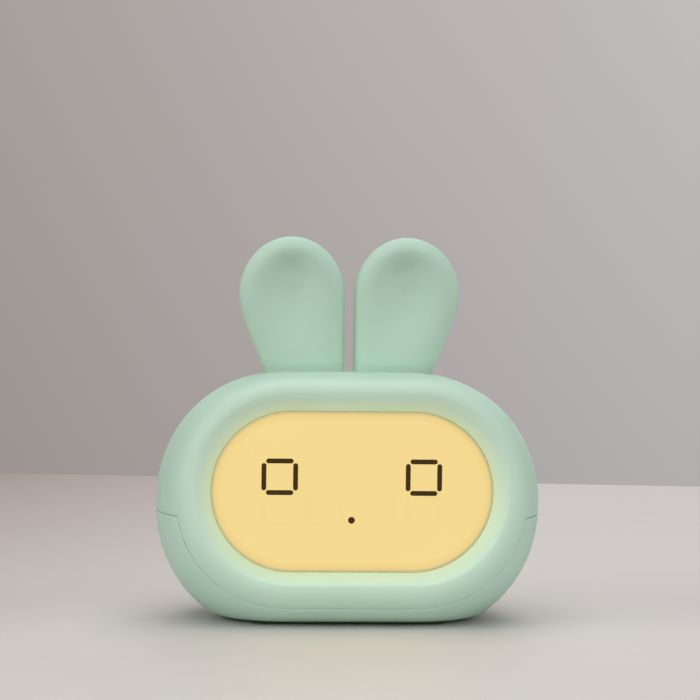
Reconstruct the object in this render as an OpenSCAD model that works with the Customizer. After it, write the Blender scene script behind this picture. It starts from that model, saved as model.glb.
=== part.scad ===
// Kids alarm clock with night light: a pebble-shaped casing with two soft ears and a glowing window.
// X points to the right as seen from the front, the window faces -Y, and the clock stands on z = 0.

/* [Casing] */
// Width of the casing
body_width = 120; // [114:1:132]
// Depth of the casing, from the rim round the window to the flat back
body_depth = 60; // [58:1:68]
// Radius of the casing's rounded left and right ends
body_radius = 41.4; // [40.6:0.2:44]
// Height of the middle of the casing's back above the table
body_centre = 36; // [35:0.5:38]
// Squareness of the casing's rounded ends, where 2 is a true circle
end_power = 2.1; // [2:0.05:2.3]
// How far the casing draws in from its middle to the front rim
front_inset = 12; // [11:0.5:13]
// How far the front rim's centre sits above the back's centre
front_rise = 7; // [6:0.5:8]
// How far the casing draws in from its middle to the flat back
rear_inset = 19; // [18:0.5:20]
// Squareness of the casing's rounded back edge
rear_power = 2.4; // [2.2:0.1:2.6]
// Thickness of the casing's walls
wall = 2.2; // [2:0.1:2.5]
// Height of the level part of the parting line
parting_height = 34.2; // [33:0.2:35]
// Distance of the parting line under the rim in front of the mid-plane
parting_reach = 26; // [25.4:0.1:26.4]

/* [Window] */
// Width of the rim beside the window, from the casing's left and right ends
side_rim = 17; // [16:0.5:19]
// Height of the glowing window
window_height = 48.8; // [46:0.4:50]
// Height of the window's middle above the table
window_centre = 41.8; // [41:0.2:43]
// How far the window lies behind the front rim
window_setback = 5.4; // [5:0.2:6]
// Thickness of the clear window
lens_thickness = 1.4; // [1:0.1:1.6]
// Gap round the edge of the clear window
lens_gap = 0.3; // [0.2:0.05:0.4]
// Thickness of the adhesive gasket behind the clear window
gasket_thickness = 0.2; // [0.1:0.05:0.3]
// Width of the ledge that the window rests on
ledge_width = 2.2; // [1.8:0.1:2.6]
// Thickness of the ledge that the window rests on
ledge_thickness = 1.4; // [1.2:0.1:1.6]

/* [Digits] */
// Side of each of the two squares that make up a digit
digit_side = 11; // [9:0.2:12]
// Width of a digit's bars
bar_width = 1.3; // [1:0.1:1.8]
// Gap between neighbouring bars
bar_gap = 0.4; // [0.2:0.05:0.5]
// Distance between the first and the last digit
digit_span = 44.3; // [42:0.1:46]
// Distance between the two digits of a pair
digit_pitch = 14.2; // [13:0.2:15]
// How far the digits' middle lies below the window's middle
digit_drop = 0.8; // [0:0.1:2]
// Distance between the two dots of the colon
colon_pitch = 16.8; // [12:0.2:17]
// Diameter of the colon's dots
dot_diameter = 1.8; // [1.4:0.1:2.2]
// Thickness of the printed digits
ink_thickness = 0.1; // [0.05:0.05:0.15]

/* [Display stack] */
// How far the display glass reaches past the window's left and right ends
glass_side_overlap = 3; // [2:0.5:4]
// How far the display glass reaches past the window's top and bottom
glass_edge_overlap = 2.6; // [2:0.2:3.2]
// Thickness of the display glass
glass_thickness = 2; // [1.6:0.1:2.4]
// Thickness of the diffuser sheet
diffuser_thickness = 0.4; // [0.3:0.05:0.6]
// Thickness of the light guide
guide_thickness = 3; // [2.5:0.1:3.5]
// Thickness of the reflector sheet
reflector_thickness = 0.3; // [0.2:0.05:0.5]
// Height of the strip that carries the backlight's lamps
strip_height = 1; // [0.8:0.1:1.2]
// Number of backlight lamps
lamp_count = 8; // [4:1:10]
// Wall thickness of the frame round the display
frame_wall = 1.6; // [1.4:0.1:2]
// Distance of the frame's screws from the window's edge
frame_screw_gap = 4.6; // [4.4:0.1:5]

/* [Ears] */
// Height of the tops of the ears above the table
ear_top = 119.7; // [116:0.1:124]
// Height at which the ears are widest
ear_wide_height = 103; // [101:0.5:105]
// Distance of the ears' outer edges from the middle, where they are widest
ear_reach = 35; // [34:0.5:37]
// Distance of the ears' outer edges from the middle, at the casing
ear_root_reach = 26.2; // [26:0.2:29]
// Gap between the two ears
ear_gap = 2.6; // [2:0.2:4]
// Thickness of the ears, front to back
ear_thickness = 12; // [11:0.5:14]
// Distance of the ears' middle plane behind the casing's mid-plane
ear_setback = 1; // [0:0.5:6]
// Depth of the scoop in the front of each ear
scoop_depth = 3.2; // [2:0.2:3.6]
// Half the width of the scoop
scoop_half_width = 12; // [10:0.5:13]
// How far the stiff tongue inside each ear sits outside the middle of the ear's root
tongue_shift = 2.6; // [2:0.1:3]
// Width of the stiff tongue inside each ear
tongue_width = 14; // [12:0.5:15]
// Thickness of the stiff tongue inside each ear
tongue_thickness = 4; // [3:0.2:4.4]
// Height of the tongue's end above the table
tongue_top = 98; // [94:0.5:100]
// Thickness of the flange under the casing's top
flange_thickness = 2; // [1.6:0.1:2.4]

/* [Rear controls] */
// Height of the row of controls above the table
control_height = 24; // [23:0.5:25]
// Depth of the recessed control panel
panel_depth = 1.2; // [1:0.1:1.4]
// Width of the recessed control panel
panel_width = 76; // [73:1:78]
// Height of the recessed control panel
panel_height = 13; // [12:0.5:14]
// Thickness of the wall behind the recessed panel
panel_wall = 2; // [1.8:0.1:2.2]
// Diameter of a push button
button_diameter = 8; // [7:0.2:8.6]
// Distance between neighbouring push buttons
button_pitch = 11; // [10.8:0.1:11.4]
// How far a push button stands out of the recessed panel
button_proud = 0.9; // [0.6:0.1:1]
// How far a push button moves when it is pressed
button_travel = 0.5; // [0.3:0.1:0.6]
// Gap round each moving control
control_gap = 0.25; // [0.2:0.05:0.3]
// Distance of the alarm switch and the charging socket from the middle
outer_control_reach = 28.4; // [28:0.1:29]
// Travel of the alarm switch's slider
slider_travel = 2.5; // [2:0.1:3]
// Length of the alarm switch's slider
slider_length = 3; // [2.6:0.1:3.4]
// Height of the alarm switch's slider
slider_height = 2.6; // [2.2:0.1:3]
// Width of the charging socket's shell
socket_width = 8.94; // [8.9:0.01:9]
// Height of the charging socket's shell
socket_height = 3.26; // [3.2:0.01:3.3]
// Diameter of the charging light's pipe
pipe_diameter = 1.6; // [1.2:0.1:1.8]

/* [Circuit boards] */
// Thickness of both circuit boards
board_thickness = 1.6; // [1:0.1:1.6]
// Width of the main board
main_board_width = 60; // [54:1:62]
// Height of the main board
main_board_height = 40; // [38:1:44]
// Length of the posts between the display frame and the main board
main_board_post = 5; // [4:0.2:6]
// Height of the control board
control_board_height = 13; // [12:0.5:14]
// Height of a push switch's body
switch_height = 3.5; // [3:0.1:4]
// Side of a push switch's body
switch_side = 6; // [5.8:0.1:6.4]

/* [Battery] */
// Length of the battery cell
battery_length = 50; // [44:1:50]
// Width of the battery cell
battery_width = 30; // [26:1:30]
// Thickness of the battery cell
battery_thickness = 8; // [6:0.5:9]
// Thickness of the foam pad under the battery
pad_thickness = 0.5; // [0.4:0.1:1]

/* [Speaker] */
// Diameter of the speaker
speaker_diameter = 20; // [18:0.5:20]
// Depth of the speaker's frame
speaker_depth = 3; // [2.6:0.1:3.4]
// Height of the speaker's centre above the table
speaker_height = 46; // [45.5:0.5:47]
// Diameter of the speaker's magnet
magnet_diameter = 12; // [10:0.5:12]
// Distance between neighbouring holes of the speaker's grille
grille_pitch = 2.6; // [2.2:0.1:2.8]
// Diameter of the holes of the speaker's grille
grille_hole = 1.4; // [1:0.1:1.6]

/* [Feet and fasteners] */
// How far the feet stand out below the casing
foot_proud = 0.8; // [0.6:0.1:1]
// Depth of the recesses that hold the feet
foot_recess = 1; // [0.8:0.1:1.2]
// Length of each foot
foot_length = 29; // [26:0.5:30]
// Width of each foot
foot_width = 6; // [5:0.5:7]
// Gap between the left and the right feet
foot_gap = 1.2; // [1:0.1:2]
// Distance of the front feet in front of the mid-plane
front_foot_reach = 13.5; // [13:0.5:14.5]
// Distance of the rear feet behind the mid-plane
rear_foot_reach = 18; // [17:0.5:19]
// Clearance between the main board and the columns of the casing's screws
side_column_gap = 2.2; // [1.6:0.1:2.6]
// Clearance between the display frame and the front columns
front_column_gap = 3.4; // [3:0.1:4]
// Clearance between the control board's screws and the rear columns
rear_column_gap = 2.75; // [2:0.05:4]
// Diameter of the small screws' threads
small_screw = 2; // [1.8:0.1:2.2]
// Diameter of the casing screws' threads
casing_screw = 2.6; // [2.4:0.1:2.8]

/* [Hidden] */

// Facets: points on each rounded end, rings on each half of the casing, points round an ear, rings up an ear,
// and rings down the slope between the rim and the window
end_steps = 24;
body_rings = 9;
ear_steps = 32;
ear_rings = 22;
rim_slope_rings = 5;
$fn = 48;

// How far a cut runs past the face that it opens, and how far a boss is sunk into the wall that carries it
past = 1;
sunk = 0.8;

// Screws and the bosses that they go into
boss_wall = 1.6;
hole_clearance = 0.1;
head_ratio = 1.9;
head_height = 1.2;
thread_room = 0.6;
small_boss = small_screw + 2 * boss_wall;
small_head = small_screw * head_ratio;
small_length = 4;
casing_grip = 7;

// Casing
half_depth = body_depth / 2;
body_straight = body_width / 2 - body_radius;
casing_base = foot_proud;
casing_floor = casing_base + wall;
front_y = -half_depth;
rear_inner_y = half_depth - wall;
window_y = front_y + window_setback;
window_width = body_width - 2 * side_rim;
window_radius = window_height / 2;
window_straight = window_width / 2 - window_radius;
lens_back_y = window_y + lens_thickness;
ledge_front_y = lens_back_y + gasket_thickness;
ledge_back_y = ledge_front_y + ledge_thickness;
pocket_radius = window_radius + lens_gap;
opening_radius = window_radius - ledge_width;
groove_angle = 74;
bezel_draft = 2.4;
rim_slope_power = 1.5;
body_top_inner = body_centre + body_radius - wall;

// Display stack, from the front to the back
stack_gap = 0.1;
glass_y = ledge_back_y + stack_gap;
diffuser_y = glass_y + glass_thickness;
guide_y = diffuser_y + diffuser_thickness;
reflector_y = guide_y + guide_thickness;
frame_floor_y = reflector_y + reflector_thickness;
frame_back_y = frame_floor_y + frame_wall;
main_board_y = frame_back_y + main_board_post;
frame_fit = 0.2;
frame_screw_reach = window_radius + frame_screw_gap;
frame_screw_x = window_straight + frame_screw_reach * cos(45);
frame_screw_z = frame_screw_reach * sin(45);
lug_diameter = 6;
lug_thickness = 1.6;
boss_depth = 4;
bezel_reach = frame_screw_reach + small_boss / 2;
glass_width = window_width + 2 * glass_side_overlap;
glass_height = window_height + 2 * glass_edge_overlap;

// The corners of the glass and its frame are cut off beside the heads of the frame's screws
head_gap = 0.3;
corner_room = frame_fit + frame_wall + small_head / 2 + head_gap;
glass_corner = (glass_width + glass_height) / 2 - frame_screw_x - frame_screw_z + sqrt(2) * corner_room;

// The sheets behind the glass are smaller all round, and the light guide leaves a bay for the strip of lamps
sheet_inset = 0.5;
lamp_size = 1.2;
lamp_width = 2.8;
lamp_gap = 0.4;
lamp_side_gap = 0.5;
lamp_bay = strip_height + lamp_size + lamp_gap;
strip_side_gap = 0.2;
strip_end_gap = 1;
strip_bottom = window_centre - glass_height / 2 + stack_gap;
strip_length = glass_width - 2 * glass_corner - 2 * strip_end_gap;
ribbon_width = 12;
ribbon_thickness = 0.3;
ribbon_rise = 9;
ribbon_plug_wall = 1;
ribbon_plug = [ribbon_width + 2 * ribbon_plug_wall, 2, 5];
ribbon_slot_height = 3;

// Digits
bar_pitch = digit_side - bar_width;
digit_x = [-digit_span / 2, digit_pitch - digit_span / 2, digit_span / 2 - digit_pitch, digit_span / 2];

// The seven bars of a digit, as the middle of each and its angle, where 0 lies flat and 90 stands upright
digit_bars = [
    [[0, bar_pitch], 0],
    [[bar_pitch / 2, bar_pitch / 2], 90],
    [[0, 0], 0],
    [[-bar_pitch / 2, bar_pitch / 2], 90],
    [[bar_pitch / 2, -bar_pitch / 2], 90],
    [[0, -bar_pitch], 0],
    [[-bar_pitch / 2, -bar_pitch / 2], 90]
];
upper_square = [0, 1, 2, 3];
lower_square = [4, 5, 6];

// Main board
main_screw_inset = 4;
main_screw_x = main_board_width / 2 - main_screw_inset;
main_screw_z = main_board_height / 2 - main_screw_inset;
board_back_y = main_board_y + board_thickness;
plug_size = [6, 4, 5];
plug_inset = 11;
plug_x = (main_board_width / 2 - plug_inset) * [-1, -0.5, 0.5, 1];
plug_drop = 8;
plug_z = window_centre - plug_drop;
chip_size = [10, 1.6, 10];
chip_rise = 2;
chip_z = window_centre + chip_rise;
crystal_size = [3.2, 1.2, 8];
crystal_gap = 5.4;
crystal_x = (chip_size.x + crystal_size.x) / 2 + crystal_gap;
capacitor_diameter = 5;
capacitor_height = 5.5;
capacitor_inset = 10;
capacitor_pitch = 7;
capacitor_rise = 8;
capacitor_z = window_centre + capacitor_rise;

// Control panel
panel_floor_y = half_depth - panel_depth;
panel_inner_y = panel_floor_y - panel_wall;
button_flange = 1;
button_flange_gap = 0.15;
button_flange_width = 0.8;
flange_diameter = button_diameter + 2 * button_flange_width;
button_front_y = panel_floor_y + button_proud;
button_foot_y = panel_inner_y - button_flange_gap - button_flange;
symbol_size = 3.6;
symbol_stroke = 0.8;
symbol_disc = 2.4;
symbol_height = 0.2;
backing_margin = 1;
plunger_diameter = 3.4;
plunger_depth = 0.8;
plunger_end_gap = 0.2;
plunger_bore_depth = plunger_depth + button_travel + plunger_end_gap;
pressed_gap = 0.3;
switch_face_gap = button_travel + pressed_gap;
control_post_gap = 0.4;
switch_top_y = button_foot_y - switch_face_gap;
control_board_y = switch_top_y - switch_height;
control_board_front_y = control_board_y - board_thickness;
alarm_switch_size = [8.6, 5];
slider_step = 0.3;
slider_stem_depth = 0.8;
slider_slot_depth = 1.2;
slider_shoulder_gap = 0.5;
control_screw_x = outer_control_reach + socket_width / 2 + control_post_gap + small_boss / 2;
control_board_width = 2 * control_screw_x + small_boss;
button_x = [for (i = [0:3]) (1.5 - i) * button_pitch];
pipe_x = -(button_x[0] + flange_diameter / 2 + outer_control_reach - socket_width / 2) / 2;
socket_wall = 0.3;
socket_recess = 0.3;
socket_fit = 0.2;
socket_base = 1;
socket_tongue = [6.6, 5.2, 0.7];
charge_lamp_size = [1.6, 0.8, 0.8];
pipe_gap = 0.3;

// Ears
ear_root_height = body_centre + body_radius;
ear_root_depth = 7;
ear_foot_height = ear_root_height - ear_root_depth;
ear_section_power = 2.5;
ear_closing_power = 2.6;
ear_taper_power = 1.25;
ear_inner_edge = ear_gap / 2;
scoop_drop = 15;
scoop_reach_up = 11;
scoop_reach_down = 17;
ear_last_angle = 87.6;
tongue_fit = 0.1;
slot_fit = 0.2;
tongue_x = (ear_root_reach + ear_inner_edge) / 2 + tongue_shift;
flange_drop = 2.4;
flange_top = body_top_inner - flange_drop;
flange_bottom = flange_top - flange_thickness;
flange_depth = 8;
flange_edge = 0.4;
ear_boss_gap = 0.3;
ear_screw_pitch = tongue_width + 2 * slot_fit + small_boss + 2 * ear_boss_gap;
ear_screw_grip = 2;
flange_width = ear_screw_pitch + small_boss + 2 * flange_edge;

// Columns of the casing's screws
column_wall = 2.5;
column_diameter = casing_screw + 2 * column_wall;
bore_clearance = 0.33;
column_bore = casing_screw * head_ratio + 2 * bore_clearance;
column_seat = 26;
column_x = main_board_width / 2 + side_column_gap + column_diameter / 2;
front_column_y = frame_back_y + front_column_gap + column_diameter / 2;
rear_column_y = control_board_front_y - head_height - rear_column_gap - column_diameter / 2;
upper_boss_height = 10;
rib_thickness = 2;
rib_reach = body_width / 2 - wall;

// Feet
foot_fit = 0.1;

// Battery and its bracket
battery_bottom = casing_floor + pad_thickness;
battery_top = battery_bottom + battery_thickness;
battery_y = 3;
pad_inset = 2;
boss_gap = 1;
bracket_thickness = 1.4;
bracket_width = 10;
bracket_post_x = battery_length / 2 + boss_gap + small_boss / 2;

// Speaker
speaker_front_y = rear_inner_y;
speaker_back_y = speaker_front_y - speaker_depth;
speaker_shell = 1;
cone_diameter = speaker_diameter - 2 * speaker_shell;
cone_thickness = 0.8;
cone_inset = 0.6;
magnet_depth = 3;
magnet_gap = 0.5;
retainer_thickness = 1.2;
retainer_front_y = speaker_back_y - retainer_thickness;
retainer_overlap = 1;
retainer_diameter = speaker_diameter + 2 * retainer_overlap;
speaker_screw_x = speaker_diameter / 2 + boss_gap + small_boss / 2;
terminal_inset = 1.6;
terminal_notch = 4;

// Touch sensor under the top of the casing, in front of the ears
touch_gap = 2.2;
touch_y = frame_back_y + touch_gap;
touch_boss = 16;
touch_boss_height = 1;
foil_inset = 1;
foil_thickness = 0.2;
foil_bottom = body_top_inner - touch_boss_height - foil_thickness;

// Wires, each straight out of its plug on the main board, and straight into its end
wire_diameter = 1.2;
wire_steps = 5;
wire_sides = 8;
wire_loop = 7;
wire_lead = 4;
battery_tab_inset = [5, 6];

// A wire from a plug to its end, where it arrives along a lead square to the face, by way of other points
function wire_route(number, end, lead, by_way_of = []) =
    let (start = [plug_x[number], board_back_y + plug_size.y, plug_z])
        concat([start, start + [0, wire_loop, 0]], by_way_of, [end + lead, end]);

battery_tab = [
    battery_tab_inset.x - battery_length / 2,
    battery_y + battery_width / 2 - battery_tab_inset.y,
    battery_top
];
battery_wire = wire_route(0, battery_tab, [0, 0, wire_lead]);
over_board = [plug_x[1] / 2, 0, window_centre + main_board_height / 2];
touch_wire = wire_route(1, [0, touch_y, foil_bottom], [0, 0, -wire_lead], [over_board]);
speaker_terminal = [0, speaker_back_y, speaker_height - speaker_diameter / 2 + terminal_inset];
speaker_wire = wire_route(2, speaker_terminal, [0, -wire_lead, 0]);
harness_end = [(button_x[0] + button_x[1]) / 2, control_board_front_y, control_height];
harness_wire = wire_route(3, harness_end, [0, -wire_lead, 0]);

// Colours
mint = [0.68, 0.79, 0.70];
glow_yellow = [0.96, 0.85, 0.56];
ink_brown = [0.27, 0.21, 0.12];
faint_yellow = [0.93, 0.82, 0.53];
board_green = [0.10, 0.38, 0.22];
steel = [0.72, 0.73, 0.75];
dark_plastic = [0.13, 0.13, 0.14];
white_plastic = [0.93, 0.93, 0.91];
clear_plastic = [0.90, 0.94, 0.95];
foot_grey = [0.30, 0.33, 0.30];
lamp_yellow = [0.98, 0.92, 0.60];
ribbon_amber = [0.80, 0.55, 0.25];
capacitor_blue = [0.20, 0.22, 0.35];
plunger_tan = [0.75, 0.70, 0.55];
charge_amber = [0.95, 0.85, 0.70];
battery_silver = [0.75, 0.77, 0.80];
cone_grey = [0.25, 0.25, 0.27];
foil_copper = [0.80, 0.50, 0.25];
wire_red = [0.75, 0.15, 0.15];

// ---- Shapes shared by the sub-parts ----

// A power of the size of v that keeps its sign
function signed_power(v, exponent) = sign(v) * pow(abs(v), exponent);

// Outline with straight top and bottom and two rounded ends, as points from the lower right anticlockwise
function stadium(straight, radius, power = 2) = [
    for (side = [1, -1], i = [0:end_steps])
        let (a = 180 * i / end_steps - 90 * side, c = signed_power(cos(a), 2 / power))
            [side * straight + radius * c, radius * signed_power(sin(a), 2 / power)]
];

// The casing's radius and centre height at a distance y from its mid-plane
function body_draw(y) = y < 0
    ? front_inset * (1 - sqrt(max(0, 1 - pow(y / half_depth, 2))))
    : rear_inset * (1 - pow(max(0, 1 - pow(y / half_depth, rear_power)), 1 / rear_power));
function body_radius_at(y) = body_radius - body_draw(y);
function body_centre_at(y) = body_centre + (y < 0 ? front_rise * pow(y / half_depth, 2) : 0);

// One ring of points of the casing's skin, moved inwards by an inset and cut off level at its base
function body_ring(y, inset = 0) = [
    for (p = stadium(body_straight, body_radius_at(y) - inset, end_power))
        [p.x, y * (half_depth - inset) / half_depth, max(body_centre_at(y) + p.y, casing_base + inset)]
];

// One ring round the window, where t goes from 0 at the rim to 1 at the window's edge
function rim_ring(t) =
    let (
        crest = body_radius - front_inset,
        straight = body_straight + (window_straight - body_straight) * t,
        radius = crest + (pocket_radius - crest) * t,
        centre = body_centre + front_rise + (window_centre - body_centre - front_rise) * t,
        power = end_power + (2 - end_power) * t
    )
        [
            for (p = stadium(straight, radius, power))
                [p.x, front_y + window_setback * pow(t, rim_slope_power), centre + p.y]
        ];

// One ring concentric with the window
function window_ring(radius, y) = [for (p = stadium(window_straight, radius)) [p.x, y, window_centre + p.y]];

// Distances from the mid-plane that crowd together where the skin turns fastest
function back_stations() = [for (i = [0:body_rings]) half_depth * cos(90 * i / body_rings)];
function front_stations(last) = [for (i = [1:body_rings]) -half_depth * sin(last * i / body_rings)];

outer_rings = [for (y = concat(back_stations(), front_stations(90))) body_ring(y)];
inner_rings = [
    for (y = concat(back_stations(), front_stations(groove_angle))) body_ring(y, wall)
];

// A closed skin through rings of points, each ring with the same number of points
module loft(rings) {
    count = len(rings[0]);
    last = len(rings) - 1;
    polyhedron(
        points = [for (ring = rings) each ring],
        faces = concat(
            [[for (j = [0:count - 1]) j]],
            [
                for (i = [0:last - 1], j = [0:count - 1], half = [0, 1])
                    let (a = i * count + j, b = i * count + (j + 1) % count)
                        half == 0 ? [a, b + count, b] : [a, a + count, b + count]
            ],
            [[for (j = [count - 1:-1:0]) last * count + j]]
        ),
        convexity = 8
    );
}

// A plate in the XZ plane between two distances from the mid-plane
module upright(y_from, y_to) {
    translate([0, y_to, 0])
        rotate([90, 0, 0])
            linear_extrude(y_to - y_from)
                children();
}

// A round bar along Y
module bar_y(diameter, y_from, y_to) {
    upright(y_from, y_to)
        circle(d = diameter);
}

// A block centred on the Z axis
module block(width, depth, z_from, z_to) {
    translate([-width / 2, -depth / 2, z_from])
        cube([width, depth, z_to - z_from]);
}

// A stadium-shaped plate concentric with the window
module window_plate(radius, y_from, y_to) {
    translate([0, 0, window_centre])
        upright(y_from, y_to)
            polygon(stadium(window_straight, radius));
}

// A rectangle with its corners cut off
module cut_rectangle(width, height, corner) {
    x = width / 2;
    y = height / 2;
    polygon([
        [x - corner, -y], [x, -y + corner], [x, y - corner], [x - corner, y],
        [corner - x, y], [-x, y - corner], [-x, corner - y], [corner - x, -y]
    ]);
}

// The display glass and the sheets behind it share this outline, with its edges and corners moved by a margin
module glass_plate(y_from, y_to, margin = 0) {
    corner = glass_corner + margin * (2 - sqrt(2));
    translate([0, 0, window_centre])
        upright(y_from, y_to)
            cut_rectangle(glass_width + 2 * margin, glass_height + 2 * margin, corner);
}

// A small pan-head screw that points towards -Y, with its head's underside at y = 0
module screw_forward() {
    bar_y(small_head, 0, head_height);
    bar_y(small_screw, -small_length, 0);
}

// A pan-head screw that points upwards, with its head's underside at z = 0
module screw_upward(thread, length) {
    translate([0, 0, -head_height])
        cylinder(d = thread * head_ratio, h = head_height);
    cylinder(d = thread, h = length);
}

// Depth of the hole for a small screw that first passes through a clamped thickness
function thread_depth(clamped) = small_length - clamped + thread_room;

// Places of the screws that repeat
module at_frame_screws() {
    for (side = [-1, 1], end = [-1, 1])
        translate([side * frame_screw_x, 0, window_centre + end * frame_screw_z])
            children();
}

module at_main_screws() {
    for (side = [-1, 1], end = [-1, 1])
        translate([side * main_screw_x, 0, window_centre + end * main_screw_z])
            children();
}

module at_columns() {
    for (side = [-1, 1], y = [front_column_y, rear_column_y])
        translate([side * column_x, y, 0])
            children();
}

module at_ear_screws() {
    for (side = [-1, 1], end = [-1, 1])
        translate([side * tongue_x + end * ear_screw_pitch / 2, ear_setback, 0])
            children();
}

module at_speaker_screws() {
    for (side = [-1, 1])
        translate([side * speaker_screw_x, 0, speaker_height])
            children();
}

module at_control_screws() {
    for (side = [-1, 1])
        translate([side * control_screw_x, 0, control_height])
            children();
}

module at_bracket_screws() {
    for (side = [-1, 1])
        translate([side * bracket_post_x, battery_y, 0])
            children();
}

// Places of the four push buttons
module at_buttons() {
    for (x = button_x)
        translate([x, 0, control_height])
            children();
}

// ---- Casing ----

module body_solid() {
    loft(outer_rings);
}

// The whole hollow skin: round the outside, over the rim, down to the window's ledge and back inside
module body_skin() {
    inner = [for (i = [len(inner_rings) - 1:-1:0]) inner_rings[i]];
    groove_y = inner[0][0].y;
    loft(concat(
        outer_rings,
        [for (i = [1:rim_slope_rings]) rim_ring(i / rim_slope_rings)],
        [
            window_ring(pocket_radius, ledge_front_y),
            window_ring(opening_radius, ledge_front_y),
            window_ring(opening_radius, ledge_back_y),
            window_ring(window_radius + wall, ledge_back_y),
            window_ring(window_radius + wall + bezel_draft, groove_y)
        ],
        inner
    ));
}

// Everything that belongs to the lower casing: below the level part of the parting line, and behind the rim
module lower_region() {
    difference() {
        translate([-body_width, -parting_reach, -past])
            cube([2 * body_width, body_depth, parting_height + past]);
        window_plate(bezel_reach, -parting_reach - past, ledge_back_y + past);
    }
}

module upper_casing() {
    color(mint)
        difference() {
            union() {
                difference() {
                    body_skin();
                    lower_region();
                }
                intersection() {
                    body_solid();
                    upper_bosses();
                }
            }
            at_frame_screws()
                bar_y(small_screw + hole_clearance, glass_y - thread_depth(lug_thickness), glass_y + past);
            at_columns()
                translate([0, 0, parting_height - past])
                    cylinder(d = casing_screw + hole_clearance, h = past + casing_grip + thread_room);
            at_ear_screws()
                translate([0, 0, flange_top - past])
                    cylinder(d = small_screw + hole_clearance, h = past + ear_screw_grip + thread_room);
            at_speaker_screws()
                bar_y(
                    small_screw + hole_clearance,
                    speaker_back_y - past,
                    speaker_back_y + thread_depth(retainer_thickness)
                );
            ear_slots();
            speaker_grille();
        }
}

// Everything inside the upper casing that a screw goes into, and the pad for the touch sensor
module upper_bosses() {
    at_frame_screws() bar_y(small_boss, ledge_back_y - boss_depth, glass_y);
    at_columns()
        translate([0, 0, parting_height])
            cylinder(d = column_diameter, h = upper_boss_height);
    column_ribs();
    at_ear_screws()
        translate([0, 0, flange_top])
            cylinder(d = small_boss, h = flange_drop + sunk);
    at_speaker_screws() bar_y(small_boss, speaker_back_y, rear_inner_y + sunk);
    translate([0, touch_y, body_top_inner - touch_boss_height])
        cylinder(d = touch_boss, h = touch_boss_height + sunk);
}

// Ribs that join the bosses of the casing's screws to the side walls
module column_ribs() {
    length = rib_reach - column_x;
    for (side = [-1, 1], y = [front_column_y, rear_column_y])
        translate([side * (column_x + length / 2), y, 0])
            block(length, rib_thickness, parting_height, parting_height + upper_boss_height);
}

module ear_slots() {
    for (side = [-1, 1])
        translate([side * tongue_x, ear_setback, 0])
            block(
                tongue_width + 2 * slot_fit,
                tongue_thickness + 2 * slot_fit,
                flange_top,
                ear_root_height + past
            );
}

// A central hole with rings of 6 and 12 round it
module speaker_grille() {
    translate([0, 0, speaker_height])
        for (ring = [0:2], i = [0:max(0, 6 * ring - 1)])
            rotate([0, 60 * i / max(1, ring), 0])
                translate([ring * grille_pitch, 0, 0])
                    bar_y(grille_hole, rear_inner_y - past, half_depth + past);
}

module lower_casing() {
    color(mint)
        difference() {
            union() {
                intersection() {
                    body_skin();
                    lower_region();
                }
                intersection() {
                    body_solid();
                    lower_bosses();
                }
            }
            panel_recess();
            panel_openings();
            at_columns() {
                translate([0, 0, -past])
                    cylinder(d = column_bore, h = column_seat + past);
                cylinder(d = casing_screw + 2 * hole_clearance, h = parting_height + past);
            }
            at_control_screws()
                bar_y(
                    small_screw + hole_clearance,
                    control_board_y - past,
                    control_board_y + thread_depth(board_thickness)
                );
            at_bracket_screws()
                translate([0, 0, battery_top - thread_depth(bracket_thickness)])
                    cylinder(d = small_screw + hole_clearance, h = small_length);
            foot_recesses();
        }
}

// Everything inside the lower casing that a screw goes into, and the thick pad behind the control panel
module lower_bosses() {
    at_columns()
        translate([0, 0, casing_floor - sunk])
            cylinder(d = column_diameter, h = parting_height - casing_floor + sunk);
    translate([0, panel_inner_y + panel_wall / 2, 0])
        block(
            panel_width + 2 * backing_margin,
            panel_wall,
            control_height - panel_height / 2 - backing_margin,
            control_height + panel_height / 2 + backing_margin
        );
    at_control_screws() bar_y(small_boss, control_board_y, panel_inner_y + sunk);
    at_bracket_screws()
        translate([0, 0, casing_floor - sunk])
            cylinder(d = small_boss, h = battery_top - casing_floor + sunk);
}

module panel_recess() {
    translate([0, 0, control_height])
        upright(panel_floor_y, half_depth + past)
            polygon(stadium((panel_width - panel_height) / 2, panel_height / 2));
}

module panel_openings() {
    at_buttons() bar_y(button_diameter + 2 * control_gap, panel_inner_y - past, half_depth);
    translate([outer_control_reach, 0, control_height])
        upright(panel_inner_y - past, half_depth)
            slider_slot(slider_height);
    translate([-outer_control_reach, 0, control_height])
        upright(panel_inner_y - past, half_depth)
            polygon(socket_outline(socket_fit));
    translate([pipe_x, 0, control_height])
        bar_y(pipe_diameter + hole_clearance, panel_inner_y - past, half_depth);
}

// Slot that lets a slider of this height travel
module slider_slot(height) {
    square([slider_length + slider_travel + 2 * control_gap, height + 2 * control_gap], center = true);
}

module foot_outline(margin) {
    polygon(stadium((foot_length - foot_width) / 2, foot_width / 2 + margin));
}

module at_foot(side, y) {
    translate([side * (foot_gap + foot_length) / 2, y, 0])
        children();
}

module foot_recesses() {
    for (side = [-1, 1], y = [-front_foot_reach, rear_foot_reach])
        at_foot(side, y)
            translate([0, 0, casing_base - past])
                linear_extrude(past + foot_recess)
                    foot_outline(foot_fit);
}

module foot(side, y) {
    color(foot_grey)
        at_foot(side, y)
            linear_extrude(casing_base + foot_recess)
                foot_outline(0);
}

module casing_screws() {
    color(steel)
        at_columns()
            translate([0, 0, column_seat])
                screw_upward(casing_screw, parting_height + casing_grip - column_seat);
}

// ---- Ears ----

// Distance of an ear's outer edge from the middle, below its widest height
function ear_edge(z) = ear_reach
    - (ear_reach - ear_root_reach)
        * pow(max(0, ear_wide_height - z) / (ear_wide_height - ear_root_height), ear_taper_power);

// How much of its full width is left at a height near the round top
function ear_closing(z, power) =
    pow(max(0, 1 - pow(max(0, z - ear_wide_height) / (ear_top - ear_wide_height), power)), 1 / power);

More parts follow.
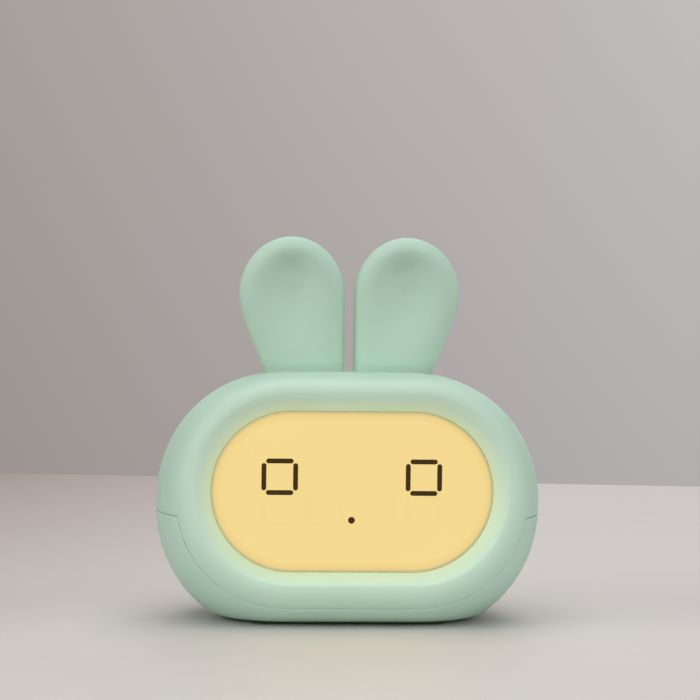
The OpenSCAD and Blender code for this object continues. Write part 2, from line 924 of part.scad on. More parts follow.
// Depth of the scoop at a place on the ear's front
function scoop_at(x, z) =
    let (
        middle = ear_top - scoop_drop,
        reach_z = z > middle ? scoop_reach_up : scoop_reach_down,
        r = norm([(x - (ear_reach + ear_inner_edge) / 2) / scoop_half_width, (z - middle) / reach_z])
    )
        r < 1 ? scoop_depth * pow(cos(90 * r), 2) : 0;

// One ring of an ear's skin
function ear_ring(z) =
    let (
        left = ear_inner_edge,
        right = ear_edge(z),
        half_width = (right - left) / 2 * ear_closing(z, 2),
        half_thickness = ear_thickness / 2 * ear_closing(z, ear_closing_power)
    )
        [
            for (i = [0:ear_steps - 1])
                let (
                    a = 360 * (i + 0.5) / ear_steps,
                    x = (left + right) / 2 + half_width * signed_power(cos(a), 2 / ear_section_power),
                    y = half_thickness * signed_power(sin(a), 2 / ear_section_power)
                )
                    [x, ear_setback + y + (y < 0 ? scoop_at(x, z) : 0), z]
        ];

// Heights of the rings, crowded towards the round top
function ear_heights() = [
    for (i = [0:ear_rings])
        ear_foot_height + (ear_top - ear_foot_height) * sin(ear_last_angle * i / ear_rings)
];

module ear() {
    difference() {
        loft([for (z = ear_heights()) ear_ring(z)]);
        body_solid();
        translate([tongue_x, ear_setback, 0])
            block(tongue_width, tongue_thickness, ear_foot_height - past, tongue_top + tongue_fit);
    }
}

module left_ear() {
    color(mint)
        mirror([1, 0, 0])
            ear();
}

module right_ear() {
    color(mint)
        ear();
}

// Stiff tongue that reaches up into the soft ear, with a flange that is screwed under the casing's top
module ear_core() {
    color(white_plastic)
        translate([tongue_x, ear_setback, 0])
            difference() {
                union() {
                    block(
                        tongue_width - 2 * tongue_fit,
                        tongue_thickness - 2 * tongue_fit,
                        flange_bottom,
                        tongue_top
                    );
                    block(flange_width, flange_depth, flange_bottom, flange_top);
                }
                for (end = [-1, 1])
                    translate([end * ear_screw_pitch / 2, 0, flange_bottom - past])
                        cylinder(d = small_screw + 2 * hole_clearance, h = flange_thickness + 2 * past);
            }
}

module left_ear_core() {
    mirror([1, 0, 0])
        ear_core();
}

module right_ear_core() {
    ear_core();
}

module ear_screws() {
    color(steel)
        at_ear_screws()
            translate([0, 0, flange_bottom])
                screw_upward(small_screw, flange_thickness + ear_screw_grip);
}

// ---- Window and digits ----

module display_lens() {
    color(glow_yellow)
        window_plate(window_radius, window_y, lens_back_y);
}

module lens_gasket() {
    color(dark_plastic)
        difference() {
            window_plate(window_radius, lens_back_y, ledge_front_y);
            window_plate(opening_radius, lens_back_y - past, ledge_front_y + past);
        }
}

// One bar of a digit, pointed at both ends, lying along X
module digit_bar() {
    tip = bar_pitch / 2 - bar_gap;
    half = bar_width / 2;
    polygon([
        [-tip, 0], [half - tip, -half], [tip - half, -half], [tip, 0], [tip - half, half], [half - tip, half]
    ]);
}

module bars(numbers) {
    for (i = numbers)
        translate(digit_bars[i][0])
            rotate(digit_bars[i][1])
                digit_bar();
}

module on_glass() {
    translate([0, 0, window_centre - digit_drop])
        upright(glass_y - ink_thickness, glass_y)
            children();
}

// The upper squares of the outer digits and the colon's lower dot make two eyes and a nose
module lcd_lit_segments() {
    color(ink_brown)
        on_glass() {
            for (i = [0, 3])
                translate([digit_x[i], 0])
                    bars(upper_square);
            translate([0, -colon_pitch / 2])
                circle(d = dot_diameter);
        }
}

module lcd_unlit_segments() {
    color(faint_yellow)
        on_glass() {
            for (i = [0, 3])
                translate([digit_x[i], 0])
                    bars(lower_square);
            for (i = [1, 2])
                translate([digit_x[i], 0])
                    bars(concat(upper_square, lower_square));
            translate([0, colon_pitch / 2])
                circle(d = dot_diameter);
        }
}

// ---- Display stack ----

module lcd_glass() {
    color(clear_plastic)
        glass_plate(glass_y, diffuser_y);
}

module diffuser_sheet() {
    color(white_plastic)
        glass_plate(diffuser_y, guide_y, -sheet_inset);
}

// The guide is shorter at the bottom, where the strip of lamps lies
module light_guide() {
    color(clear_plastic)
        difference() {
            glass_plate(guide_y, reflector_y, -sheet_inset);
            translate([-glass_width / 2, guide_y - past, window_centre - glass_height / 2 - past])
                cube([glass_width, guide_thickness + 2 * past, lamp_bay + past]);
        }
}

module reflector_sheet() {
    color(white_plastic)
        glass_plate(reflector_y, frame_floor_y, -sheet_inset);
}

module backlight_strip() {
    color(white_plastic)
        translate([-strip_length / 2, guide_y + strip_side_gap, strip_bottom])
            cube([strip_length, guide_thickness - 2 * strip_side_gap, strip_height]);
}

module backlight_lamps() {
    color(lamp_yellow)
        for (i = [0:lamp_count - 1])
            translate([
                strip_length * ((i + 0.5) / lamp_count - 0.5) - lamp_width / 2,
                guide_y + lamp_side_gap,
                strip_bottom + strip_height
            ])
                cube([lamp_width, guide_thickness - 2 * lamp_side_gap, lamp_size]);
}

// Tray that holds the stack against the casing's ledge, with four screw lugs and posts for the main board
module display_frame() {
    color(white_plastic)
        difference() {
            union() {
                glass_plate(glass_y, frame_back_y, frame_fit + frame_wall);
                at_frame_screws() bar_y(lug_diameter, glass_y, glass_y + lug_thickness);
                at_main_screws() bar_y(small_boss, frame_back_y - frame_wall, main_board_y);
            }
            glass_plate(glass_y - past, frame_floor_y, frame_fit);
            at_frame_screws()
                bar_y(small_screw + 2 * hole_clearance, glass_y - past, glass_y + lug_thickness + past);
            at_main_screws()
                bar_y(
                    small_screw + hole_clearance,
                    main_board_y - thread_depth(board_thickness),
                    main_board_y + past
                );
            translate([-ribbon_plug.x / 2, frame_floor_y - past, strip_bottom])
                cube([ribbon_plug.x, frame_wall + 2 * past, ribbon_slot_height]);
        }
}

// Flat cable from the display's lower edge to the main board's connector
module display_ribbon() {
    plug_front_y = main_board_y - ribbon_plug.y;
    color(ribbon_amber)
        translate([-ribbon_width / 2, 0, strip_bottom + strip_height]) {
            translate([0, frame_floor_y, 0])
                cube([ribbon_width, plug_front_y - frame_floor_y, ribbon_thickness]);
            translate([0, plug_front_y - ribbon_thickness, 0])
                cube([ribbon_width, ribbon_thickness, ribbon_rise]);
        }
}

module display_frame_screws() {
    color(steel)
        at_frame_screws()
            translate([0, glass_y + lug_thickness, 0])
                screw_forward();
}

// ---- Main board ----

module main_board() {
    color(board_green)
        difference() {
            translate([-main_board_width / 2, main_board_y, window_centre - main_board_height / 2])
                cube([main_board_width, board_thickness, main_board_height]);
            at_main_screws()
                bar_y(small_screw + 2 * hole_clearance, main_board_y - past, board_back_y + past);
        }
}

module on_board_back(x, z, size) {
    translate([x - size.x / 2, board_back_y, z - size.z / 2])
        cube(size);
}

module clock_chip() {
    color(dark_plastic)
        on_board_back(0, chip_z, chip_size);
}

module crystal() {
    color(steel)
        on_board_back(crystal_x, chip_z, crystal_size);
}

module capacitors() {
    color(capacitor_blue)
        for (i = [0, 1])
            translate([capacitor_inset + i * capacitor_pitch - main_board_width / 2, 0, capacitor_z])
                bar_y(capacitor_diameter, board_back_y, board_back_y + capacitor_height);
}

// Four plugs on the back for the wires, and one on the front for the display's flat cable
module board_connectors() {
    color(white_plastic) {
        for (x = plug_x)
            on_board_back(x, plug_z, plug_size);
        translate([
            -ribbon_plug.x / 2,
            main_board_y - ribbon_plug.y,
            strip_bottom + ribbon_rise - ribbon_plug.z / 2
        ])
            cube(ribbon_plug);
    }
}

module main_board_screws() {
    color(steel)
        at_main_screws()
            translate([0, board_back_y, 0])
                screw_forward();
}

// ---- Control board and controls ----

module control_board() {
    color(board_green)
        difference() {
            translate([
                -control_board_width / 2,
                control_board_front_y,
                control_height - control_board_height / 2
            ])
                cube([control_board_width, board_thickness, control_board_height]);
            at_control_screws()
                bar_y(small_screw + 2 * hole_clearance, control_board_front_y - past, control_board_y + past);
        }
}

module control_board_screws() {
    color(steel)
        at_control_screws()
            translate([0, control_board_front_y, 0])
                mirror([0, 1, 0])
                    screw_forward();
}

module push_switch_bodies() {
    color(dark_plastic)
        at_buttons()
            difference() {
                upright(control_board_y, switch_top_y)
                    square(switch_side, center = true);
                bar_y(
                    plunger_diameter + 2 * control_gap,
                    switch_top_y - plunger_bore_depth,
                    switch_top_y + past
                );
            }
}

// A cap with a flange that keeps it behind the panel
module button(number) {
    color(white_plastic)
        translate([button_x[number], 0, control_height]) {
            bar_y(button_diameter, button_foot_y + button_flange / 2, button_front_y);
            bar_y(flange_diameter, button_foot_y, button_foot_y + button_flange);
            button_symbol(number);
        }
}

// Raised marks: a ring for the mode, a minus, a plus and a disc for the light
module button_symbol(number) {
    upright(button_front_y - symbol_height, button_front_y + symbol_height) {
        if (number == 0)
            difference() {
                circle(d = symbol_size);
                circle(d = symbol_size - 2 * symbol_stroke);
            }
        if (number == 1 || number == 2)
            square([symbol_size, symbol_stroke], center = true);
        if (number == 2)
            square([symbol_stroke, symbol_size], center = true);
        if (number == 3)
            circle(d = symbol_disc);
    }
}

module plunger(number) {
    color(plunger_tan)
        translate([button_x[number], 0, control_height])
            bar_y(plunger_diameter, switch_top_y - plunger_depth, button_foot_y);
}

module alarm_switch_body() {
    color(steel)
        translate([outer_control_reach, 0, control_height])
            difference() {
                upright(control_board_y, switch_top_y)
                    square(alarm_switch_size, center = true);
                upright(switch_top_y - slider_slot_depth, switch_top_y + past)
                    slider_slot(slider_height - 2 * slider_step);
            }
}

// Slider at the end of its travel nearest the clock's left side as seen from behind
module alarm_switch_slider() {
    shoulder_y = panel_inner_y - slider_shoulder_gap;
    color(white_plastic)
        translate([outer_control_reach + slider_travel / 2, 0, control_height]) {
            upright(switch_top_y - slider_stem_depth, shoulder_y + slider_step)
                square([slider_length - 2 * slider_step, slider_height - 2 * slider_step], center = true);
            upright(shoulder_y, button_front_y)
                square([slider_length, slider_height], center = true);
        }
}

// Outline of the charging socket, grown by a margin
function socket_outline(margin) = stadium((socket_width - socket_height) / 2, socket_height / 2 + margin);

module usb_socket_shell() {
    color(steel)
        translate([-outer_control_reach, 0, control_height])
            difference() {
                upright(control_board_y, panel_floor_y - socket_recess)
                    polygon(socket_outline(0));
                upright(control_board_y + socket_base, panel_floor_y)
                    polygon(socket_outline(-socket_wall));
            }
}

module usb_socket_tongue() {
    color(dark_plastic)
        translate([
            -outer_control_reach - socket_tongue.x / 2,
            control_board_y + socket_base,
            control_height - socket_tongue.z / 2
        ])
            cube(socket_tongue);
}

module charge_light_pipe() {
    color(clear_plastic)
        translate([pipe_x, 0, control_height])
            bar_y(pipe_diameter, control_board_y + charge_lamp_size.y + pipe_gap, panel_floor_y);
}

module charge_lamp() {
    color(charge_amber)
        translate([
            pipe_x - charge_lamp_size.x / 2,
            control_board_y,
            control_height - charge_lamp_size.z / 2
        ])
            cube(charge_lamp_size);
}

// ---- Battery ----

module battery_cell() {
    color(battery_silver)
        translate([0, battery_y, 0])
            block(battery_length, battery_width, battery_bottom, battery_top);
}

module battery_pad() {
    color(dark_plastic)
        translate([0, battery_y, 0])
            block(
                battery_length - 2 * pad_inset,
                battery_width - 2 * pad_inset,
                casing_floor,
                battery_bottom
            );
}

module battery_bracket() {
    color(white_plastic)
        difference() {
            translate([0, battery_y, 0])
                block(
                    2 * bracket_post_x + small_boss,
                    bracket_width,
                    battery_top,
                    battery_top + bracket_thickness
                );
            at_bracket_screws()
                translate([0, 0, battery_top - past])
                    cylinder(d = small_screw + 2 * hole_clearance, h = bracket_thickness + 2 * past);
        }
}

module battery_bracket_screws() {
    color(steel)
        at_bracket_screws()
            translate([0, 0, battery_top + bracket_thickness])
                mirror([0, 0, 1])
                    screw_upward(small_screw, small_length);
}

// ---- Speaker ----

module speaker_frame() {
    color(dark_plastic)
        translate([0, 0, speaker_height])
            difference() {
                bar_y(speaker_diameter, speaker_back_y, speaker_front_y);
                bar_y(cone_diameter, speaker_back_y + speaker_shell, speaker_front_y + past);
            }
}

module speaker_cone() {
    cone_front_y = speaker_front_y - cone_inset;
    color(cone_grey)
        translate([0, 0, speaker_height])
            bar_y(cone_diameter, cone_front_y - cone_thickness, cone_front_y);
}

module speaker_magnet() {
    color(steel)
        translate([0, 0, speaker_height])
            bar_y(magnet_diameter, speaker_back_y - magnet_depth, speaker_back_y);
}

// Ring across the back of the speaker, screwed to two bosses, with a notch for the speaker's terminals
module speaker_retainer() {
    notch_height = (retainer_diameter - magnet_diameter) / 2;
    color(white_plastic)
        translate([0, 0, speaker_height])
            difference() {
                upright(retainer_front_y, speaker_back_y)
                    union() {
                        circle(d = retainer_diameter);
                        square([2 * speaker_screw_x + small_boss, small_boss], center = true);
                    }
                bar_y(magnet_diameter + 2 * magnet_gap, retainer_front_y - past, speaker_back_y + past);
                translate([0, 0, -retainer_diameter / 2])
                    upright(retainer_front_y - past, speaker_back_y + past)
                        square([terminal_notch, 2 * notch_height], center = true);
                for (side = [-1, 1])
                    translate([side * speaker_screw_x, 0, 0])
                        bar_y(
                            small_screw + 2 * hole_clearance,
                            retainer_front_y - past,
                            speaker_back_y + past
                        );
            }
}

module speaker_screws() {
    color(steel)
        at_speaker_screws()
            translate([0, retainer_front_y, 0])
                mirror([0, 1, 0])
                    screw_forward();
}

// ---- Touch sensor and wires ----

module touch_foil() {
    color(foil_copper)
        translate([0, touch_y, foil_bottom])
            cylinder(d = touch_boss - 2 * foil_inset, h = foil_thickness);
}

// A point of a cubic curve through four points
function curve(p, t) =
    0.5 * (
        2 * p[1] + (p[2] - p[0]) * t + (2 * p[0] - 5 * p[1] + 4 * p[2] - p[3]) * t * t
        + (3 * p[1] - p[0] - 3 * p[2] + p[3]) * t * t * t
    );

// A route made smooth, with its ends kept
function smooth(route) =
    let (last = len(route) - 1)
        concat(
            [
                for (i = [0:last - 1])
                    let (near = [route[max(0, i - 1)], route[i], route[i + 1], route[min(last, i + 2)]])
                        for (k = [0:wire_steps - 1])
                            curve(near, k / wire_steps)
            ],
            [route[last]]
        );

// A ring of points round a place, square to a direction that never runs along X
function wire_ring(place, direction) =
    let (
        ahead = direction / norm(direction),
        side = cross([1, 0, 0], ahead) / norm(cross([1, 0, 0], ahead)),
        up = cross(ahead, side)
    )
        [
            for (j = [0:wire_sides - 1])
                let (a = 360 * j / wire_sides)
                    place + wire_diameter / 2 * (cos(a) * side + sin(a) * up)
        ];

// A round wire along a route, whose end faces are square to its first and last leg
module wire(route) {
    path = smooth(route);
    last = len(path) - 1;
    arrival = route[len(route) - 1] - route[len(route) - 2];
    loft([
        wire_ring(path[0], route[1] - route[0]),
        for (i = [1:last - 1])
            wire_ring(path[i], path[i + 1] - path[i - 1]),
        wire_ring(path[last], arrival)
    ]);
}

module wiring() {
    color(wire_red)
        for (route = [battery_wire, touch_wire, speaker_wire, harness_wire])
            wire(route);
}

upper_casing();
lower_casing();
left_ear();
right_ear();
left_ear_core();
right_ear_core();
ear_screws();
display_lens();
lens_gasket();
lcd_glass();
lcd_lit_segments();
lcd_unlit_segments();
diffuser_sheet();
light_guide();
reflector_sheet();
backlight_strip();
backlight_lamps();
display_frame();
display_frame_screws();
display_ribbon();
main_board();
clock_chip();
crystal();
capacitors();
board_connectors();
main_board_screws();
control_board();
push_switch_bodies();
button(0);  // mode_button
button(1);  // down_button
button(2);  // up_button
button(3);  // light_button
plunger(0);  // mode_plunger
plunger(1);  // down_plunger
plunger(2);  // up_plunger
plunger(3);  // light_plunger
alarm_switch_body();
alarm_switch_slider();
usb_socket_shell();
usb_socket_tongue();
charge_light_pipe();
charge_lamp();
control_board_screws();
battery_cell();
battery_pad();
battery_bracket();
battery_bracket_screws();
speaker_frame();
speaker_cone();
speaker_magnet();
speaker_retainer();
speaker_screws();
touch_foil();
wiring();
casing_screws();
foot(-1, -front_foot_reach);  // front_left_foot
foot(1, -front_foot_reach);  // front_right_foot
foot(-1, rear_foot_reach);  // rear_left_foot
foot(1, rear_foot_reach);  // rear_right_foot
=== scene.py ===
"""Kids alarm clock with night light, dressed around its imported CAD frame.

Sizes below are in millimetres, as in the CAD source, and every mesh is scaled to metres when it is made.
X points to the right as seen from the front, the window faces -Y, and the clock stands on z = 0.
"""
import math

import bmesh
import bpy
from mathutils import Matrix, Vector


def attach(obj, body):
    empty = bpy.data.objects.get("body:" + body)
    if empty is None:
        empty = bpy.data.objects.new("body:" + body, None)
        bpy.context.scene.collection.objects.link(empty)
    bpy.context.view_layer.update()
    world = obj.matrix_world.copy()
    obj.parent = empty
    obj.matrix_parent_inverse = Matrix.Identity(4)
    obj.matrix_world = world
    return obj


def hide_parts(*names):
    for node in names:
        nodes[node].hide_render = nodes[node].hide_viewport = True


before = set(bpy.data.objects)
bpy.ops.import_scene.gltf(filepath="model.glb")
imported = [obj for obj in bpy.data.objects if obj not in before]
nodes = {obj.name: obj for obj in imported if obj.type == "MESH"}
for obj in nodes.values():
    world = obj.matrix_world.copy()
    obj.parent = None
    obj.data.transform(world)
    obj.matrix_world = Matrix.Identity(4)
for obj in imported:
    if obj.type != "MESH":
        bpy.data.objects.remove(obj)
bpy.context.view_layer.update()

MM = 0.001

# Casing, with the same values as the CAD source
BODY_WIDTH = 120
BODY_DEPTH = 60
BODY_RADIUS = 41.4
BODY_CENTRE = 36
END_POWER = 2.1
FRONT_INSET = 12
FRONT_RISE = 7
REAR_INSET = 19
REAR_POWER = 2.4
WALL = 2.2
PARTING_HEIGHT = 34.2
PARTING_REACH = 26
SIDE_RIM = 17
WINDOW_HEIGHT = 48.8
WINDOW_CENTRE = 41.8
WINDOW_SETBACK = 5.4
RIM_SLOPE_POWER = 1.5
LENS_THICKNESS = 1.4
LENS_GAP = 0.3
GASKET_THICKNESS = 0.2
LEDGE_WIDTH = 2.2
LEDGE_THICKNESS = 1.4
BEZEL_DRAFT = 2.4
GROOVE_ANGLE = 74
FOOT_PROUD = 0.8

HALF_DEPTH = BODY_DEPTH / 2
BODY_STRAIGHT = BODY_WIDTH / 2 - BODY_RADIUS
WINDOW_RADIUS = WINDOW_HEIGHT / 2
WINDOW_STRAIGHT = BODY_WIDTH / 2 - SIDE_RIM - WINDOW_RADIUS
WINDOW_Y = WINDOW_SETBACK - HALF_DEPTH
LENS_BACK_Y = WINDOW_Y + LENS_THICKNESS
LEDGE_FRONT_Y = LENS_BACK_Y + GASKET_THICKNESS
LEDGE_BACK_Y = LEDGE_FRONT_Y + LEDGE_THICKNESS
POCKET_RADIUS = WINDOW_RADIUS + LENS_GAP
OPENING_RADIUS = WINDOW_RADIUS - LEDGE_WIDTH
REAR_INNER_Y = HALF_DEPTH - WALL
RIM_RADIUS = BODY_RADIUS - FRONT_INSET
RIM_CENTRE = BODY_CENTRE + FRONT_RISE

# Fine shape of the casing: the parting gap, its rounded lips and the rounded crease under the casing
PARTING_GAP = 0.14
LIP_RADIUS = 0.22
LIP_STEPS = 4
CREASE_BLEND = 2.4
ROUNDING_ERROR = 1e-6

# Steps of the casing's grid: across the straight part, on the lower and upper arcs, and from back to front
STRAIGHT_STEPS = 8
LOW_ARC_STEPS = 44
HIGH_ARC_STEPS = 52
BACK_STEPS = 46
FRONT_STEPS = 6
GROOVE_STEPS = 5
RIM_STEPS = 18


def signed_power(value, exponent):
    """A power of the size of a value that keeps its sign."""
    return math.copysign(abs(value) ** exponent, value)


def smooth_max(a, b, blend):
    """The larger of two heights, with a rounded change-over."""
    near = max(blend - abs(a - b), 0) / blend
    return max(a, b) + near * near * blend / 4


def quarter_round(radius, steps):
    """How far a rounded edge lies inside its sharp corner, as pairs of distances in steps round it."""
    angles = [math.radians(90 * i / steps) for i in range(steps + 1)]
    return [(radius * (1 - math.sin(a)), radius * (1 - math.cos(a))) for a in angles]


def body_radius_at(y):
    """Radius of the casing's rounded ends at a distance from its mid-plane."""
    share = min(abs(y) / HALF_DEPTH, 1)
    if y < 0:
        return BODY_RADIUS - FRONT_INSET * (1 - math.sqrt(1 - share ** 2))
    return BODY_RADIUS - REAR_INSET * (1 - (1 - share ** REAR_POWER) ** (1 / REAR_POWER))


def body_centre_at(y):
    """Height of the casing's middle at a distance from its mid-plane."""
    return BODY_CENTRE + (FRONT_RISE * (y / HALF_DEPTH) ** 2 if y < 0 else 0)


def casing_top_at(x, y):
    """Height of the casing's skin above a place under the ears."""
    radius = body_radius_at(y)
    beyond = max(abs(x) - BODY_STRAIGHT, 0)
    return body_centre_at(y) + (radius ** END_POWER - beyond ** END_POWER) ** (1 / END_POWER)


def angle_at(height, centre, radius, power):
    """Angle on a rounded end at which it has this height, in degrees."""
    share = max(-1, min(1, (height - centre) / radius))
    return math.degrees(math.asin(signed_power(share, power / 2)))


# ---- The casing as one grid of rows and columns ----

SEAM_REACH = PARTING_GAP / 2 + LIP_RADIUS
LIP_OFFSETS = [PARTING_GAP / 2 + aside for aside, _ in quarter_round(LIP_RADIUS, LIP_STEPS)]
SEAM_OFFSETS = [-v for v in LIP_OFFSETS] + LIP_OFFSETS[::-1]
FAR = 1000


def lip_inset(distance):
    """How far the rounded lip lies below the skin at a distance from the gap's edge."""
    short = max(LIP_RADIUS - distance, 0)
    return LIP_RADIUS - math.sqrt(max(LIP_RADIUS ** 2 - short ** 2, 0))


def half_columns():
    """Columns from the bottom's middle up one side to the top's middle, as (kind, share or offset)."""
    columns = [("bottom", i / STRAIGHT_STEPS) for i in range(STRAIGHT_STEPS)]
    columns += [("low", i / LOW_ARC_STEPS) for i in range(LOW_ARC_STEPS)]
    columns += [("seam", v) for v in sorted(SEAM_OFFSETS)]
    columns += [("high", i / HIGH_ARC_STEPS) for i in range(1, HIGH_ARC_STEPS + 1)]
    columns += [("top", 1 - i / STRAIGHT_STEPS) for i in range(1, STRAIGHT_STEPS + 1)]
    return columns


HALF = half_columns()
COLUMNS = [(1, kind, value) for kind, value in HALF]
COLUMNS += [(-1, kind, value) for kind, value in HALF[-2:0:-1]]


def column_above_seam(column):
    """Height of a column above the level part of the parting line."""
    _, kind, value = column
    return {"bottom": -FAR, "low": -FAR, "seam": value, "high": FAR, "top": FAR}[kind]


def column_point(column, straight, radius, centre, power, seam_centre, seam_radius):
    """X and Z of a column on a ring. The seam's place on the ring comes from the casing's ring beside it."""
    side, kind, value = column
    if kind == "bottom":
        return side * straight * value, centre - radius
    if kind == "top":
        return side * straight * value, centre + radius
    low_end = angle_at(PARTING_HEIGHT - SEAM_REACH, seam_centre, seam_radius, END_POWER)
    high_end = angle_at(PARTING_HEIGHT + SEAM_REACH, seam_centre, seam_radius, END_POWER)
    if kind == "low":
        angle = -90 + (low_end + 90) * value
    elif kind == "high":
        angle = high_end + (90 - high_end) * value
    else:
        angle = angle_at(PARTING_HEIGHT + value, seam_centre, seam_radius, END_POWER)
    a = math.radians(angle)
    x = straight + radius * signed_power(math.cos(a), 2 / power)
    return side * x, centre + radius * signed_power(math.sin(a), 2 / power)


def skin_point(column, y, inset):
    """A point of the casing's skin, or of a surface that lies inside it by an inset."""
    centre = body_centre_at(y)
    radius = body_radius_at(y) - inset
    x, z = column_point(column, BODY_STRAIGHT, radius, centre, END_POWER, centre, radius)
    floor = FOOT_PROUD + inset
    return x, y * (HALF_DEPTH - inset) / HALF_DEPTH, smooth_max(z, floor, CREASE_BLEND)


def rim_point(column, t):
    """A point of the slope between the front rim, where t is 0, and the window's edge, where t is 1."""
    x, z = column_point(
        column,
        BODY_STRAIGHT + (WINDOW_STRAIGHT - BODY_STRAIGHT) * t,
        RIM_RADIUS + (POCKET_RADIUS - RIM_RADIUS) * t,
        RIM_CENTRE + (WINDOW_CENTRE - RIM_CENTRE) * t,
        END_POWER + (2 - END_POWER) * t,
        RIM_CENTRE,
        RIM_RADIUS,
    )
    return x, WINDOW_SETBACK * t ** RIM_SLOPE_POWER - HALF_DEPTH, z


def window_point(column, radius, y):
    """A point of a ring concentric with the window."""
    x, z = column_point(column, WINDOW_STRAIGHT, radius, WINDOW_CENTRE, 2, RIM_CENTRE, RIM_RADIUS)
    return x, y, z


def row_stations():
    """Places of the rows along Y, from the flat back to the front, closest where the skin turns fastest."""
    def steps(start, end, count):
        angles = [math.radians(start + (end - start) * i / count) for i in range(1, count + 1)]
        return [-HALF_DEPTH * math.sin(a) for a in angles]

    before = math.degrees(math.asin((PARTING_REACH - SEAM_REACH) / HALF_DEPTH))
    behind = math.degrees(math.asin((PARTING_REACH + SEAM_REACH) / HALF_DEPTH))
    stations = [HALF_DEPTH] + steps(-90, before, BACK_STEPS)
    stations += [-PARTING_REACH - u for u in sorted(SEAM_OFFSETS)[1:]]
    stations += steps(behind, GROOVE_ANGLE, GROOVE_STEPS)
    groove = len(stations)
    stations += steps(GROOVE_ANGLE, 90, FRONT_STEPS)
    return stations, groove


def new_object(name, data):
    """A new object in the scene."""
    obj = bpy.data.objects.new(name, data)
    bpy.context.scene.collection.objects.link(obj)
    return obj


def mesh_object(name, points, faces, material):
    """A new object from points in millimetres, with its faces turned outwards."""
    mesh = bpy.data.meshes.new(name)
    mesh.from_pydata([Vector(p) * MM for p in points], [], faces)
    work = bmesh.new()
    work.from_mesh(mesh)
    bmesh.ops.remove_doubles(work, verts=work.verts, dist=1e-7)
    bmesh.ops.recalc_face_normals(work, faces=work.faces)
    work.to_mesh(mesh)
    work.free()
    mesh.materials.append(material)
    return new_object(name, mesh)


def smooth_by_angle(obj, angle=28):
    """Smooth shading with sharp edges where two faces meet at more than an angle."""
    obj.data.shade_smooth()
    obj.data.set_sharp_from_angle(angle=math.radians(angle))


def band_faces(rings):
    """Faces that join each ring to the next, where a ring is the numbers of its points."""
    faces = []
    for near, far in zip(rings, rings[1:]):
        corners = zip(near, near[1:] + near[:1], far[1:] + far[:1], far)
        faces += [list(face) for face in corners]
    return faces


def surround_places(back_y):
    """Rings round the window, from the front rim to the inside of the front, as functions of a column."""
    slope = [lambda c, t=i / RIM_STEPS: rim_point(c, t) for i in range(1, RIM_STEPS + 1)]
    window = [
        (POCKET_RADIUS, LEDGE_FRONT_Y),
        (OPENING_RADIUS, LEDGE_FRONT_Y),
        (OPENING_RADIUS, LEDGE_BACK_Y),
        (WINDOW_RADIUS + WALL, LEDGE_BACK_Y),
        (WINDOW_RADIUS + WALL + BEZEL_DRAFT, back_y),
    ]
    return slope + [lambda c, r=r, y=y: window_point(c, r, y) for r, y in window]


def casing_shell(name, upper, material):
    """One of the casing's two shells: a closed wall with rounded lips along the parting gap."""
    stations, groove = row_stations()
    count = len(COLUMNS)
    heights = [column_above_seam(c) for c in COLUMNS]
    ahead = [-PARTING_REACH - y for y in stations]
    edge = PARTING_GAP / 2 - ROUNDING_ERROR
    points = []
    faces = []
    index = {}

    def held(i, j):
        """Whether the shell has the patch from row i and column j to the next ones."""
        k = (j + 1) % count
        if upper:
            return min(ahead[i], ahead[i + 1]) >= edge or min(heights[j], heights[k]) >= edge
        return max(ahead[i], ahead[i + 1]) <= -edge and max(heights[j], heights[k]) <= -edge

    def inset(i, j):
        """How far the lip lies below the skin."""
        if upper:
            return lip_inset(max(ahead[i], heights[j]) - PARTING_GAP / 2)
        return lip_inset(min(-ahead[i], -heights[j]) - PARTING_GAP / 2)

    def vertex(key, place):
        """The number of a point, which is made when it is first asked for."""
        if key not in index:
            index[key] = len(points)
            points.append(place())
        return index[key]

    def outer(i, j):
        """A point of the outer face."""
        j = j % count
        return vertex(("outer", i, j), lambda: skin_point(COLUMNS[j], stations[i], inset(i, j)))

    def inner(i, j):
        """A point of the inner face."""
        j = j % count
        return vertex(("inner", i, j), lambda: skin_point(COLUMNS[j], stations[i], WALL))

    def wall(first, second):
        """A face through the wall, between two places of the grid."""
        faces.append([outer(*first), outer(*second), inner(*second), inner(*first)])

    # Both faces, the inner one as far as the groove behind the rim, and walls between them along the gap
    for i in range(len(stations) - 1):
        for j in range(count):
            if not held(i, j):
                continue
            faces.append([outer(i, j), outer(i, j + 1), outer(i + 1, j + 1), outer(i + 1, j)])
            if i >= groove - 1:
                continue
            faces.append([inner(i, j), inner(i + 1, j), inner(i + 1, j + 1), inner(i, j + 1)])
            if not held(i, (j + 1) % count):
                wall((i, j + 1), (i + 1, j + 1))
            if not held(i, (j - 1) % count):
                wall((i, j), (i + 1, j))
            if i > 0 and not held(i - 1, j):
                wall((i, j), (i, j + 1))
            if not held(i + 1, j):
                wall((i + 1, j), (i + 1, j + 1))

    # The flat back: its outer face with the lip's strips beside it, its inner face and the wall along the gap
    back = [j for j in range(count) if (heights[j] >= edge if upper else heights[j] <= -edge)]
    if not upper:
        back = [j for j in back if j > count // 2] + [j for j in back if j <= count // 2]
    flat = [j for j in back if inset(0, j) == 0]
    lips = (len(back) - len(flat)) // 2
    faces.append([outer(0, j) for j in flat])
    faces.append([inner(0, j) for j in back])
    for k in range(lips):
        strip = back[k], back[k + 1], back[-k - 2], back[-k - 1]
        faces.append([outer(0, j) for j in strip])
    wall((0, back[0]), (0, back[-1]))

    # The slope behind the rim, the window's pocket and its ledge belong to the upper shell
    if upper:
        back_y = stations[groove - 1] * (HALF_DEPTH - WALL) / HALF_DEPTH
        rows = [[outer(len(stations) - 1, j) for j in range(count)]]
        for number, place in enumerate(surround_places(back_y)):
            rows.append([vertex(("rim", number, j), lambda: place(COLUMNS[j])) for j in range(count)])
        rows.append([inner(groove - 1, j) for j in range(count)])
        faces += band_faces(rows)

    return mesh_object(name, points, faces, material)


# ---- Materials ----

